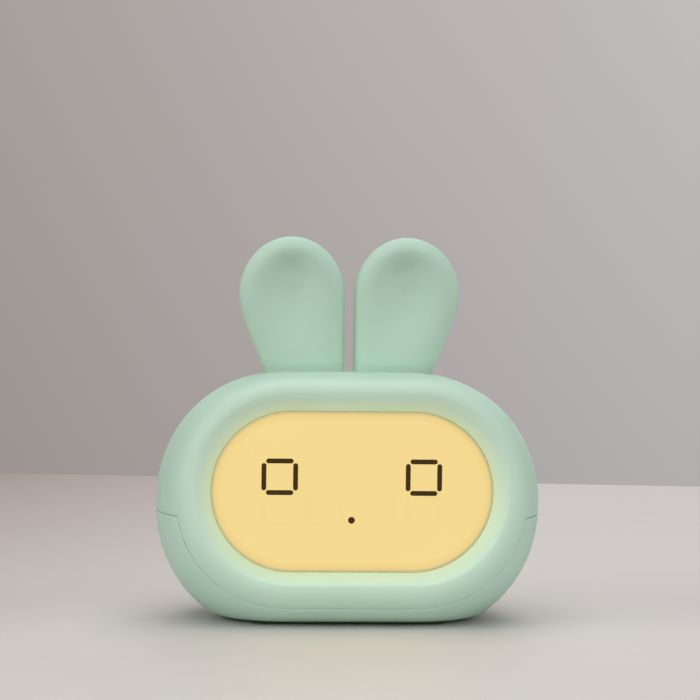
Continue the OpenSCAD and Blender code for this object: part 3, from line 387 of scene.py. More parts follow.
def principled(name):
    """A new material, with its shader and its node tree."""
    material = bpy.data.materials.new(name)
    material.use_nodes = True
    tree = material.node_tree
    return material, tree, tree.nodes["Principled BSDF"]


def fill(tree, node, values):
    """Gives a node its inputs, each as a value or as the output of another node."""
    for key, value in values.items():
        if isinstance(value, bpy.types.NodeSocket):
            tree.links.new(value, node.inputs[key])
        else:
            node.inputs[key].default_value = value


def noise(tree, scale, detail=2):
    """Noise over the object's own coordinates, with a scale in features per metre."""
    place = tree.nodes.new("ShaderNodeTexCoord")
    texture = tree.nodes.new("ShaderNodeTexNoise")
    fill(tree, texture, {"Vector": place.outputs["Object"], "Scale": scale, "Detail": detail})
    return texture.outputs["Fac"]


def ramp(tree, value, low, high, from_low=0.3, from_high=0.7, change="LINEAR"):
    """Maps a value, or the middle of a noise, to a range of numbers."""
    node = tree.nodes.new("ShaderNodeMapRange")
    node.interpolation_type = change
    fill(tree, node, {"Value": value, "From Min": from_low, "From Max": from_high})
    fill(tree, node, {"To Min": low, "To Max": high})
    return node.outputs["Result"]


def linear(colour):
    """A colour written as sRGB numbers from 0 to 255, as linear values with an alpha of 1."""
    values = [c / 255 for c in colour]
    return [v / 12.92 if v <= 0.04045 else ((v + 0.055) / 1.055) ** 2.4 for v in values] + [1]


def mixed(tree, first, second, share):
    """A mix of two colours, each given as linear values or as the output of a node."""
    mix = tree.nodes.new("ShaderNodeMix")
    mix.data_type = "RGBA"
    fill(tree, mix, {"A": first, "B": second, "Factor": share})
    return mix.outputs["Result"]


def varied_colour(tree, colour, amount, scale):
    """A colour whose brightness drifts slowly over the surface."""
    base = linear(colour)[:3]
    dark = [c * (1 - amount) for c in base] + [1]
    pale = [min(c * (1 + amount), 1) for c in base] + [1]
    return mixed(tree, dark, pale, ramp(tree, noise(tree, scale), 0, 1))


def coordinates(tree, source="Object"):
    """The separate X, Y and Z of a place or a direction."""
    place = tree.nodes.new("ShaderNodeTexCoord")
    split = tree.nodes.new("ShaderNodeSeparateXYZ")
    fill(tree, split, {"Vector": place.outputs[source]})
    return split.outputs


def calculated(tree, operation, *values):
    """The result of a Math node, where each value is a number or the output of a node."""
    node = tree.nodes.new("ShaderNodeMath")
    node.operation = operation
    fill(tree, node, dict(enumerate(values)))
    return node.outputs[0]


def bumped(tree, shader, scale, depth, strength=0.3):
    """Fine relief, with its scale in features per metre and its depth in millimetres."""
    bump = tree.nodes.new("ShaderNodeBump")
    fill(tree, bump, {"Strength": strength, "Distance": depth * MM, "Height": noise(tree, scale, detail=3)})
    fill(tree, shader, {"Normal": bump.outputs["Normal"]})


def finish(name, colour, roughness, drift=0.04, drift_scale=60, grain=2500, grain_depth=0.03,
           metallic=0, specular=0.5):
    """A moulded, coated or metal finish: a drifting colour, uneven roughness and a fine grain."""
    material, tree, shader = principled(name)
    fill(tree, shader, {
        "Base Color": varied_colour(tree, colour, drift, drift_scale),
        "Roughness": ramp(tree, noise(tree, scale=400), *roughness),
        "Metallic": metallic,
        "Specular IOR Level": specular,
    })
    bumped(tree, shader, grain, grain_depth)
    return material


def distance_inside_window(tree):
    """Distance inwards from the window's edge, in metres, worked out from the object's own coordinates."""
    place = coordinates(tree)
    sideways = calculated(tree, "ABSOLUTE", place["X"])
    past_straight = calculated(tree, "SUBTRACT", sideways, WINDOW_STRAIGHT * MM)
    across = calculated(tree, "MAXIMUM", past_straight, 0)
    up = calculated(tree, "SUBTRACT", place["Z"], WINDOW_CENTRE * MM)
    squares = [calculated(tree, "MULTIPLY", side, side) for side in (across, up)]
    reach = calculated(tree, "SQRT", calculated(tree, "ADD", *squares))
    return calculated(tree, "SUBTRACT", WINDOW_RADIUS * MM, reach)


MINT = (183, 212, 193)

# Painted light on the rim: the night light's glow as emission, with its strength, colours, reach from the
# window and where it starts along Y
PAINTED_GLOW_STRENGTH = 0.14
PAINTED_GLOW_COLOUR = (178, 166, 152)
PAINTED_GLOW_WARM = (255, 228, 130)
PAINTED_GLOW_FULL = 4.5
PAINTED_GLOW_END = 11.5
PAINTED_GLOW_FRONT = (-20, -25)


def casing_plastic_material():
    """Satin moulded plastic, with the night light's glow painted on round the window, warmer nearer its edge.
    """
    material = finish("casing_plastic", MINT, (0.5, 0.58), 0.012, 25, 3500, 0.02)
    tree = material.node_tree
    shader = tree.nodes["Principled BSDF"]
    inside = distance_inside_window(tree)
    # Painted light: an emitted glow on the rim round the window stands in for the night light falling on it
    near = ramp(tree, inside, 0, 1, -PAINTED_GLOW_END * MM, -PAINTED_GLOW_FULL * MM, "SMOOTHSTEP")
    back, front = PAINTED_GLOW_FRONT
    ahead = ramp(tree, coordinates(tree)["Y"], 0, 1, back * MM, front * MM, "SMOOTHSTEP")
    warmth = ramp(tree, inside, 0, 1, -PAINTED_GLOW_FULL * MM, 0, "SMOOTHSTEP")
    glow = mixed(tree, linear(PAINTED_GLOW_COLOUR), linear(PAINTED_GLOW_WARM), warmth)
    lit = mixed(tree, linear((0, 0, 0)), glow, calculated(tree, "MULTIPLY", near, ahead))
    fill(tree, shader, {"Emission Color": lit, "Emission Strength": PAINTED_GLOW_STRENGTH})
    return material


casing_plastic = casing_plastic_material()

# Name, colour and range of roughness, then colour drift, its scale, grain and its depth where they differ
ear_silicone = finish("ear_silicone", MINT, (0.6, 0.7), 0.015, 30, 5000, 0.02)
white_plastic = finish("white_plastic", (236, 236, 230), (0.4, 0.5))
screw_steel = finish("screw_steel", (190, 192, 196), (0.25, 0.4), 0.1, 300, 6000, 0.01, metallic=1)
black_foam = finish("black_foam", (40, 40, 42), (0.85, 0.95), 0.2, 800, 3000, 0.08)
white_film = finish("white_film", (240, 238, 228), (0.35, 0.45), 0.02)
ribbon_film = finish("ribbon_film", (196, 132, 62), (0.3, 0.4), 0.06, 200)
circuit_board = finish("circuit_board", (32, 104, 62), (0.35, 0.5), 0.15, 500, 1500, 0.04)
black_plastic = finish("black_plastic", (34, 34, 36), (0.4, 0.55), 0.1)
bare_metal = finish("bare_metal", (200, 202, 205), (0.2, 0.35), 0.06, 300, 6000, 0.01, metallic=1)
capacitor_sleeve = finish("capacitor_sleeve", (52, 58, 96), (0.3, 0.4), 0.05)
button_plastic = finish("button_plastic", (238, 240, 234), (0.42, 0.52), 0.015, 80, 3500, 0.02)
plunger_plastic = finish("plunger_plastic", (206, 196, 168), (0.4, 0.5))
battery_wrap = finish("battery_wrap", (196, 200, 206), (0.25, 0.45), 0.05, 150, 900, 0.06)
speaker_film = finish("speaker_cone_film", (48, 48, 52), (0.6, 0.7), 0.1, 600)
copper_foil = finish("copper_foil", (206, 130, 84), (0.25, 0.4), 0.06, 250, 2000, 0.02, metallic=1)
wire_sleeve = finish("wire_sleeve", (190, 44, 40), (0.4, 0.5), 0.06)
# The feet are dark rubber, and their greenish dark is partly painted contact shade under the casing
foot_rubber = finish("foot_rubber", (42, 50, 40), (0.8, 0.9), 0.08, 400, 3000, 0.05)
segment_ink = finish("segment_ink", (52, 34, 12), (0.6, 0.7), 0.05, specular=0.1)
mark_paint = finish("mark_paint", (120, 134, 126), (0.5, 0.6), 0.03)

# The lit display, and the window's border, opaque and painted with the display's glow, with painted shade
# along its edge and an inner side that ends softly
GLOW = (245, 217, 144)
PAINTED_SHADE_NEAR_EDGE = (239, 211, 140)
PAINTED_SHADE_AT_EDGE = (208, 190, 134)
EDGE_SHADE = (1.2, 3)
BORDER_WIDTH = 6
BORDER_FADE = 0.1
WINDOW_ALPHA = 0.01
UNLIT_COLOUR = (0.005, 0.005, 0.004, 1)


def clear(name, colour, roughness, alpha):
    """A clear sheet that lets the light of what lies behind it through unchanged."""
    material, tree, shader = principled(name)
    fill(tree, shader, {
        "Base Color": varied_colour(tree, colour, amount=0.02, scale=80),
        "Roughness": ramp(tree, noise(tree, scale=300), *roughness),
        "Alpha": alpha,
    })
    return material


def glowing(name, colour, strength, drift):
    """A backlit surface whose brightness drifts a little and which hardly reflects anything."""
    material, tree, shader = principled(name)
    glow = varied_colour(tree, colour, drift, scale=30)
    fill(tree, shader, {
        "Emission Color": glow,
        "Emission Strength": strength,
        "Base Color": UNLIT_COLOUR,
        "Roughness": 0.5,
        "Specular IOR Level": 0.04,
    })
    return material, tree, shader, glow


clear_plastic = clear("clear_plastic", (236, 242, 244), roughness=(0.1, 0.14), alpha=0.4)
display_glow = glowing("display_glow", GLOW, strength=1, drift=0.01)[0]
lamp_yellow = glowing("lamp_yellow", (255, 236, 170), strength=1.5, drift=0.02)[0]


def window_plastic_material():
    """The clear window. Its border is painted with the display's glow, with painted shade at the edge, and
    hides the ledge.
    """
    material, tree, shader, glow = glowing("window_plastic", GLOW, strength=1, drift=0.01)
    inside = distance_inside_window(tree)
    edge, near_edge = (c * MM for c in EDGE_SHADE)
    # Painted shade: the glow darkens towards the window's edge, where the rim shades it
    shade = ramp(tree, inside, 0, 1, 0, edge, "SMOOTHSTEP")
    dim = mixed(tree, linear(PAINTED_SHADE_AT_EDGE), linear(PAINTED_SHADE_NEAR_EDGE), shade)
    colour = mixed(tree, dim, glow, ramp(tree, inside, 0, 1, edge, near_edge))
    border = BORDER_WIDTH * MM
    cover = ramp(tree, inside, 1, WINDOW_ALPHA, border, border + BORDER_FADE * MM)
    fill(tree, shader, {"Emission Color": colour, "Alpha": cover})
    return material


window_plastic = window_plastic_material()
faint_ink = clear("faint_segment_ink", (150, 124, 70), roughness=(0.5, 0.54), alpha=0.006)

# Finishes of the CAD nodes, by the end of their names
NODE_MATERIALS = (
    (white_plastic, ("ear_core", "backlight_strip", "display_frame", "connectors", "bracket", "retainer")),
    (screw_steel, "screws"),
    (black_foam, ("gasket", "battery_pad")),
    (display_glow, ("lcd_glass", "diffuser_sheet")),
    (segment_ink, "lcd_lit_segments"),
    (faint_ink, "lcd_unlit_segments"),
    (clear_plastic, ("light_guide", "light_pipe")),
    (white_film, "reflector_sheet"),
    (lamp_yellow, ("lamps", "lamp")),
    (ribbon_film, "ribbon"),
    (circuit_board, "board"),
    (black_plastic, ("clock_chip", "switch_bodies", "socket_tongue", "speaker_frame")),
    (bare_metal, ("crystal", "switch_body", "socket_shell", "magnet")),
    (capacitor_sleeve, "capacitors"),
    (plunger_plastic, "plunger"),
    (button_plastic, ("button", "switch_slider")),
    (battery_wrap, "battery_cell"),
    (speaker_film, "speaker_cone"),
    (copper_foil, "touch_foil"),
    (wire_sleeve, "wiring"),
    (foot_rubber, "foot"),
    (window_plastic, "display_lens"),
)
for material, endings in NODE_MATERIALS:
    for name in nodes:
        if name.endswith(endings):
            for material_slot in nodes[name].material_slots:
                material_slot.material = material


# ---- Casing ----

CORNER_STEPS = 6


def piece(obj, body, slot_name, *replaced):
    """Lets a piece ride on its body and stand for its CAD nodes, which it hides. The slot name is not used.
    """
    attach(obj, body)
    if replaced:
        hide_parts(*replaced)


# Each outline is a function of the margin round it

def stadium(straight, radius, steps=20):
    """Outline of a rectangle with round ends, lying along X."""
    def outline(margin):
        points = []
        reach = radius + margin
        for side in (1, -1):
            for i in range(steps + 1):
                a = math.radians(180 * i / steps - 90 * side)
                points.append((side * straight + reach * math.cos(a), reach * math.sin(a)))
        return points

    return outline


def circle(radius, steps=48):
    """Outline of a circle."""
    turns = [2 * math.pi / steps * i for i in range(steps)]
    return lambda margin: [((radius + margin) * math.cos(a), (radius + margin) * math.sin(a)) for a in turns]


def rounded_box(width, height, radius):
    """Outline of a rectangle with rounded corners, whose centres stay where they are."""
    def outline(margin):
        points = []
        reach = radius + margin
        for quarter, (across, up) in enumerate(((1, 1), (-1, 1), (-1, -1), (1, -1))):
            x, z = across * (width / 2 - radius), up * (height / 2 - radius)
            for i in range(CORNER_STEPS + 1):
                a = math.radians(90 * (quarter + i / CORNER_STEPS))
                points.append((x + reach * math.cos(a), z + reach * math.sin(a)))
        return points

    return outline


def numbered(rings):
    """The points of several rings as one list, and each ring as the numbers of its points."""
    count = len(rings[0])
    points = [p for ring in rings for p in ring]
    return points, [list(range(start, start + count)) for start in range(0, len(points), count)]


def stack(layers):
    """Points and faces of a closed solid made of rings with equally many points."""
    points, rings = numbered(layers)
    return points, [rings[0][::-1], rings[-1]] + band_faces(rings)


def hoop(layers):
    """Points and faces of a closed hoop made of rings, the last of which is joined to the first."""
    points, rings = numbered(layers)
    return points, band_faces(rings + rings[:1])


def joined(solids):
    """Points and faces of several solids as one."""
    points, faces = [], []
    for more_points, more_faces in solids:
        base = len(points)
        points += more_points
        faces += [[base + i for i in face] for face in more_faces]
    return points, faces


def rings_along_y(shape, x, z, steps):
    """Rings about a place, where shape(margin) gives the outline for each (y, margin) step."""
    return [[(x + px, y, z + pz) for px, pz in shape(margin)] for y, margin in steps]


def along_y(shape, x, z, steps):
    """A solid along Y about a place, made of such rings."""
    return stack(rings_along_y(shape, x, z, steps))


def along_z(shape, x, y, steps):
    """A solid along Z about a place, where shape(margin) gives the outline for each (z, margin) step."""
    return stack([[(x + px, y + py, z) for px, py in shape(margin)] for z, margin in steps])


def carve(target, solids, operation):
    """Cuts solids out of an object or adds them to it, and keeps the result as its mesh."""
    points, faces = joined(solids)
    tool = mesh_object("carving_tool", points, faces, target.data.materials[0])
    modifier = target.modifiers.new("carve", "BOOLEAN")
    modifier.operation = operation
    modifier.solver = "EXACT"
    modifier.object = tool
    result = bpy.data.meshes.new_from_object(target.evaluated_get(bpy.context.evaluated_depsgraph_get()))
    target.modifiers.remove(modifier)
    target.data = result
    bpy.data.objects.remove(tool)


# Openings, with the same values as the CAD source
PAST = 0.5
CONTROL_HEIGHT = 24
PANEL_DEPTH = 1.2
PANEL_WIDTH = 76
PANEL_HEIGHT = 13
PANEL_WALL = 2
BACKING_MARGIN = 1
BUTTON_DIAMETER = 8
BUTTON_PITCH = 11
BUTTON_PROUD = 0.9
CONTROL_GAP = 0.25
OUTER_CONTROL_REACH = 28.4
SLIDER_TRAVEL = 2.5
SLIDER_LENGTH = 3
SLIDER_HEIGHT = 2.6
SLIDER_SLOT_CORNER = 0.3
SOCKET_WIDTH = 8.94
SOCKET_HEIGHT = 3.26
SOCKET_FIT = 0.2
PIPE_DIAMETER = 1.6
HOLE_CLEARANCE = 0.3
SPEAKER_HEIGHT = 46
GRILLE_PITCH = 2.6
GRILLE_HOLE = 1.4
FOOT_LENGTH = 29
FOOT_WIDTH = 6
FOOT_GAP = 1.2
FOOT_RECESS = 1
FOOT_FIT = 0.1
FRONT_FOOT_REACH = 13.5
REAR_FOOT_REACH = 18
COLUMN_REACH = 36
COLUMN_PLACES = (-7, 12)
COLUMN_DIAMETER = 7.6
COLUMN_BORE = 5.6
COLUMN_SEAT = 26
COLUMN_FOOT = 2.9
CASING_SCREW_HOLE = 2.8
TONGUE_REACH = 16.35
TONGUE_SLOT = (14.4, 4.4)
TONGUE_SLOT_CORNER = 0.5
TONGUE_SLOT_FLOOR = 70
CHAMFER = 0.25

PANEL_FLOOR_Y = HALF_DEPTH - PANEL_DEPTH
PANEL_INNER_Y = PANEL_FLOOR_Y - PANEL_WALL
BUTTON_FRONT_Y = PANEL_FLOOR_Y + BUTTON_PROUD
BUTTONS_X = [(1.5 - i) * BUTTON_PITCH for i in range(4)]
PIPE_X = (BUTTONS_X[-1] - BUTTON_DIAMETER / 2 - OUTER_CONTROL_REACH + SOCKET_WIDTH / 2) / 2


def mouth(bottom, top):
    """Steps of a cut between two places, with a chamfer where it comes out of the surface at the second."""
    away = math.copysign(1, top - bottom)
    return [
        (bottom, 0),
        (top - away * CHAMFER, 0),
        (top, CHAMFER),
        (top + away * PAST, CHAMFER),
    ]


def panel_cuts():
    """The recessed control panel and the openings in its floor."""
    edge = [(PANEL_FLOOR_Y, -CHAMFER), (PANEL_FLOOR_Y + CHAMFER, 0)] + mouth(PANEL_FLOOR_Y, HALF_DEPTH)[1:]
    panel = stadium((PANEL_WIDTH - PANEL_HEIGHT) / 2, PANEL_HEIGHT / 2)
    slot_length = SLIDER_LENGTH + SLIDER_TRAVEL + 2 * CONTROL_GAP
    slot_height = SLIDER_HEIGHT + 2 * CONTROL_GAP
    button = circle(BUTTON_DIAMETER / 2 + CONTROL_GAP)
    slider = rounded_box(slot_length, slot_height, SLIDER_SLOT_CORNER)
    socket = stadium((SOCKET_WIDTH - SOCKET_HEIGHT) / 2, SOCKET_HEIGHT / 2 + SOCKET_FIT)
    pipe = circle((PIPE_DIAMETER + HOLE_CLEARANCE) / 2, steps=24)
    openings = [(button, x) for x in BUTTONS_X]
    openings += [(slider, OUTER_CONTROL_REACH), (socket, -OUTER_CONTROL_REACH), (pipe, PIPE_X)]
    through = mouth(PANEL_INNER_Y - PAST, PANEL_FLOOR_Y)
    cuts = [along_y(shape, x, CONTROL_HEIGHT, through) for shape, x in openings]
    return [along_y(panel, 0, CONTROL_HEIGHT, edge)], cuts


def underside_cuts():
    """Recesses for the feet, and the deep bores for the casing's screws."""
    cuts = []
    foot = stadium((FOOT_LENGTH - FOOT_WIDTH) / 2, FOOT_WIDTH / 2 + FOOT_FIT)
    foot_reach = (FOOT_GAP + FOOT_LENGTH) / 2
    recess = mouth(FOOT_PROUD + FOOT_RECESS, FOOT_PROUD)
    bore = circle(COLUMN_BORE / 2)
    narrow = (CASING_SCREW_HOLE - COLUMN_BORE) / 2
    steps = [(PARTING_HEIGHT + PAST, narrow), (COLUMN_SEAT, narrow), (COLUMN_SEAT, 0), (0, 0)]
    for side in (-1, 1):
        for y in (-FRONT_FOOT_REACH, REAR_FOOT_REACH):
            cuts.append(along_z(foot, side * foot_reach, y, recess))
        for y in COLUMN_PLACES:
            cuts.append(along_z(bore, side * COLUMN_REACH, y, steps))
    return cuts


def lower_additions():
    """The screws' columns, and the thick pad behind the control panel."""
    column = circle(COLUMN_DIAMETER / 2)
    steps = [(COLUMN_FOOT, 0), (PARTING_HEIGHT - PARTING_GAP, 0)]
    columns = [along_z(column, side * COLUMN_REACH, y, steps) for side in (-1, 1) for y in COLUMN_PLACES]
    pad = rounded_box(PANEL_WIDTH + 2 * BACKING_MARGIN, PANEL_HEIGHT + 2 * BACKING_MARGIN, PANEL_HEIGHT / 2)
    return columns + [along_y(pad, 0, CONTROL_HEIGHT, [(PANEL_INNER_Y, 0), (PANEL_FLOOR_Y, 0)])]


def grille_cuts():
    """A central hole with rings of 6 and 12 round it."""
    cuts = []
    hole = circle(GRILLE_HOLE / 2, steps=20)
    steps = mouth(REAR_INNER_Y - PAST, HALF_DEPTH)
    for ring in range(3):
        reach = ring * GRILLE_PITCH
        for i in range(max(1, 6 * ring)):
            a = math.radians(60 * i / max(1, ring))
            cuts.append(along_y(hole, reach * math.cos(a), SPEAKER_HEIGHT - reach * math.sin(a), steps))
    return cuts


def ear_slot_cuts():
    """Slots in the casing's top that the stiff tongues of the ears stand in."""
    slot = rounded_box(*TONGUE_SLOT, TONGUE_SLOT_CORNER)
    steps = [(TONGUE_SLOT_FLOOR, 0), (EAR_ROOT_HEIGHT + PAST, 0)]
    return [along_z(slot, side * TONGUE_REACH, EAR_SETBACK, steps) for side in (-1, 1)]


def upper_shell():
    """The upper shell with the speaker's grille and the slots for the ears."""
    shell = casing_shell("upper_shell", True, casing_plastic)
    carve(shell, grille_cuts() + ear_slot_cuts(), "DIFFERENCE")
    smooth_by_angle(shell)
    piece(shell, "clock", "casing_plastic", "upper_casing")


def lower_shell():
    """The lower shell with the control panel, the feet's recesses and the screws' columns."""
    shell = casing_shell("lower_shell", False, casing_plastic)
    recess, openings = panel_cuts()
    carve(shell, lower_additions(), "UNION")
    carve(shell, recess, "DIFFERENCE")
    carve(shell, openings + underside_cuts(), "DIFFERENCE")
    smooth_by_angle(shell)
    piece(shell, "clock", "casing_plastic", "lower_casing")


# ---- Ears ----

EAR_TOP = 119.65
EAR_WIDE_HEIGHT = 101
EAR_REACH = 34.8
EAR_ROOT_REACH = 26.2
EAR_INNER_EDGE = 1.5
EAR_THICKNESS = 12
EAR_SETBACK = 1
EAR_SECTION_POWER = 2.5
EAR_CLOSING_POWER = 2.6
EAR_TAPER_POWER = 1.35
EAR_ROOT_HEIGHT = BODY_CENTRE + BODY_RADIUS
SCOOP_DEPTH = 4
SCOOP_RIM = 0.15
SCOOP_SLOPE_UP = 0.43
SCOOP_SLOPE_ASIDE = 0.8
SCOOP_FOOT = 80
SCOOP_FULL = 104
SCOOP_LEAST_REACH = 0.01
EAR_ROWS = 84
EAR_COLUMNS = 96
EAR_LAST_ANGLE = 89.7
EAR_SINK = 0.15


def ear_edge(z):
    """Distance of an ear's outer edge from the middle, below its widest height."""
    low = max(EAR_WIDE_HEIGHT - z, 0) / (EAR_WIDE_HEIGHT - EAR_ROOT_HEIGHT)
    return EAR_REACH - (EAR_REACH - EAR_ROOT_REACH) * low ** EAR_TAPER_POWER


def ear_closing(z, power):
    """How much of its full width is left at a height near the round top."""
    high = max(z - EAR_WIDE_HEIGHT, 0) / (EAR_TOP - EAR_WIDE_HEIGHT)
    return max(1 - high ** power, 0) ** (1 / power)


def smooth_step(share):
    """Rises from 0 to 1 with a level start and end."""
    share = max(0, min(1, share))
    return share * share * (3 - 2 * share)


def scoop_at(x, z):
    """Depth of the scoop at a place on the ear's front. It leaves a rim and fades downwards."""
    left, right = EAR_INNER_EDGE, ear_edge(z)
    across = (2 * x - left - right) / (right - left)
    up = max(z - EAR_WIDE_HEIGHT, 0) / (EAR_TOP - EAR_WIDE_HEIGHT)
    reach = math.hypot(across, up)
    aside = abs(across) / max(reach, SCOOP_LEAST_REACH)
    slope = SCOOP_SLOPE_UP + (SCOOP_SLOPE_ASIDE - SCOOP_SLOPE_UP) * aside * aside
    fade = smooth_step((z - SCOOP_FOOT) / (SCOOP_FULL - SCOOP_FOOT))
    return SCOOP_DEPTH * smooth_step((1 - reach - SCOOP_RIM) / slope) * fade


def ear_point(z, angle):
    """A point of the right ear's skin."""
    left, right = EAR_INNER_EDGE, ear_edge(z)
    half_width = (right - left) / 2 * ear_closing(z, 2)
    half_thickness = EAR_THICKNESS / 2 * ear_closing(z, EAR_CLOSING_POWER)
    a = math.radians(angle)
    x = (left + right) / 2 + half_width * signed_power(math.cos(a), 2 / EAR_SECTION_POWER)
    y = half_thickness * signed_power(math.sin(a), 2 / EAR_SECTION_POWER)
    return x, EAR_SETBACK + y + (scoop_at(x, z) if y < 0 else 0), z


def ear(name, side, node):
    """A soft ear that stands on the casing's curved top."""
    angles = [360 * (j + 0.5) / EAR_COLUMNS for j in range(EAR_COLUMNS)]
    foot = [ear_point(EAR_ROOT_HEIGHT, a) for a in angles]
    rows = [[(x, y, casing_top_at(x, y) - EAR_SINK) for x, y, z in foot]]
    rise = EAR_TOP - EAR_ROOT_HEIGHT
    for i in range(1, EAR_ROWS + 1):
        z = EAR_ROOT_HEIGHT + rise * math.sin(math.radians(EAR_LAST_ANGLE * i / EAR_ROWS))
        rows.append([ear_point(z, a) for a in angles])
    solid = stack([[(side * x, y, z) for x, y, z in row] for row in rows])
    obj = mesh_object(name, *solid, ear_silicone)
    smooth_by_angle(obj, angle=50)
    piece(obj, "clock", "ear_silicone", node)


upper_shell()
lower_shell()
ear("left_soft_ear", -1, "left_ear")
ear("right_soft_ear", 1, "right_ear")


# ---- Window and digits ----

WINDOW_END_STEPS = 64
LENS_EDGE = 0.35
LENS_EDGE_STEPS = 6
LENS_FIT = 0.26
LENS_LIFT = 0.05
SEAL_THICKNESS = 0.4
INK_STEPS = [(-21.6, 0), (-21.5, 0)]
BAR_WIDTH = 1.5
BAR_PITCH = 9.7
BAR_LENGTH = 8.4
DIGIT_SPAN = 44.3
DIGIT_DROP = 0.6
COLON_PITCH = 16.8
DOT_DIAMETER = 2.1


def lens():
    """The window: a clear plate with a softly rounded front edge."""
    shape = stadium(WINDOW_STRAIGHT, POCKET_RADIUS - LENS_FIT, WINDOW_END_STEPS)
    steps = [(LENS_BACK_Y - LENS_LIFT, 0)]
    steps += [(WINDOW_Y + y, -margin) for y, margin in quarter_round(LENS_EDGE, LENS_EDGE_STEPS)]
    obj = mesh_object("window_lens", *along_y(shape, 0, WINDOW_CENTRE, steps), window_plastic)
    smooth_by_angle(obj, angle=40)
    piece(obj, "clock", "window_plastic", "display_lens")


def light_seal():
    """A thin pale hoop that lines the opening between the window and the display, with the display's light
    painted on it as a glow.
    """
    shape = stadium(WINDOW_STRAIGHT, OPENING_RADIUS, WINDOW_END_STEPS)
    steps = [(LENS_BACK_Y, 0), (LEDGE_BACK_Y, 0)]
    steps += [(LEDGE_BACK_Y, -SEAL_THICKNESS), (LENS_BACK_Y, -SEAL_THICKNESS)]
    solid = hoop(rings_along_y(shape, 0, WINDOW_CENTRE, steps))
    obj = mesh_object("window_light_seal", *solid, display_glow)
    smooth_by_angle(obj, angle=40)
    piece(obj, "clock", "white_film")


def bar(x, z, upright):
    """One bar of a digit with round ends."""
    outline = stadium((BAR_LENGTH - BAR_WIDTH) / 2, BAR_WIDTH / 2, steps=10)(0)
    if upright:
        outline = [(-pz, px) for px, pz in outline]
    return along_y(lambda margin: outline, x, z, INK_STEPS)


def lit_digits():
    """The upper squares of the outer digits and the colon's lower dot, as two eyes and a nose."""
    middle = WINDOW_CENTRE - DIGIT_DROP
    dot = circle(DOT_DIAMETER / 2, steps=32)
    solids = [along_y(dot, 0, middle - COLON_PITCH / 2, INK_STEPS)]
    for side in (-1, 1):
        x = side * DIGIT_SPAN / 2
        solids += [bar(x, middle, False), bar(x, middle + BAR_PITCH, False)]
        solids += [bar(x + end * BAR_PITCH / 2, middle + BAR_PITCH / 2, True) for end in (-1, 1)]
    obj = mesh_object("lit_digits", *joined(solids), segment_ink)
    piece(obj, "clock", "segment_ink", "lcd_lit_segments")


lens()
light_seal()
lit_digits()


# ---- Controls on the back ----

BUTTON_FOOT_Y = 25.65
BUTTON_FLANGE = 1
FLANGE_RADIUS = 4.8
BUTTON_ROUNDING = 0.45
BUTTON_STEPS = 8
BUTTON_DISH = 0.12
SYMBOL_SIZE = 3.6
SYMBOL_STROKE = 0.8
SYMBOL_DISC = 2.4
SYMBOL_HEIGHT = 0.2
SYMBOL_TIP = 0.15
SYMBOL_FLAT = 0.05
SLIDER_STEM_Y = 24.05
SLIDER_SHOULDER_GAP = 0.5
SLIDER_STEP = 0.3
SLIDER_CORNER = 0.5
SLIDER_ROUNDING = 0.3
SLIDER_STEPS = 5
SLIDER_GROOVE_PITCH = 0.75
SLIDER_GROOVE_RADIUS = 0.2

SYMBOL_STEPS = [
    (BUTTON_FRONT_Y - 2 * BUTTON_DISH, 0),
    (BUTTON_FRONT_Y + SYMBOL_HEIGHT / 2, 0),
    (BUTTON_FRONT_Y + SYMBOL_HEIGHT, -SYMBOL_HEIGHT / 2),
]


def button_profile():
    """Radius at each depth of a push button, from its foot to the middle of its slightly dished front."""
    radius = BUTTON_DIAMETER / 2
    flange_y = BUTTON_FOOT_Y + BUTTON_FLANGE
    profile = [(BUTTON_FOOT_Y, FLANGE_RADIUS), (flange_y, FLANGE_RADIUS), (flange_y, radius)]
    for y, margin in quarter_round(BUTTON_ROUNDING, BUTTON_STEPS):
        profile.append((BUTTON_FRONT_Y - y, radius - margin))
    flat = radius - BUTTON_ROUNDING
    for i in range(1, BUTTON_STEPS):
        share = i / BUTTON_STEPS
        profile.append((BUTTON_FRONT_Y - BUTTON_DISH * smooth_step(share), flat * (1 - share)))
    return profile


def plus_outline(margin):
    """Outline of a plus with bevelled tips."""
    long, short = SYMBOL_SIZE / 2 + margin, SYMBOL_STROKE / 2 + margin
    arm = [(short, short), (long - SYMBOL_TIP, short), (long, short - SYMBOL_TIP)]
    arm += [(long, SYMBOL_TIP - short), (long - SYMBOL_TIP, -short)]
    outline = []
    for quarter in range(4):
        outline += arm
        arm = [(pz, -px) for px, pz in arm]
    return outline


def ring_solid(x):
    """A raised ring, closed all round."""
    inside = [(y, -SYMBOL_STROKE - margin) for y, margin in SYMBOL_STEPS[::-1]]
    return hoop(rings_along_y(circle(SYMBOL_SIZE / 2), x, CONTROL_HEIGHT, SYMBOL_STEPS + inside))


def symbol_solid(name, x):
    """Raised mark of a button: a ring for mode, a minus for down, a plus for up and a disc for light."""
    if name == "mode":
        return ring_solid(x)
    shapes = {
        "down": rounded_box(SYMBOL_SIZE, SYMBOL_STROKE, SYMBOL_STROKE / 2 - SYMBOL_FLAT),
        "up": plus_outline,
        "light": circle(SYMBOL_DISC / 2),
    }
    return along_y(shapes[name], x, CONTROL_HEIGHT, SYMBOL_STEPS)


def push_button(name, x):
    """A push button with its raised mark, which rides on its own body."""
    solid = along_y(circle(0, steps=64), x, CONTROL_HEIGHT, button_profile())
    cap = mesh_object(name + "_cap", *solid, button_plastic)
    smooth_by_angle(cap)
    piece(cap, name + "_key", "button_plastic", name + "_button")
    mark = mesh_object(name + "_mark", *symbol_solid(name, x), mark_paint)
    smooth_by_angle(mark)
    piece(mark, name + "_key", "button_plastic")


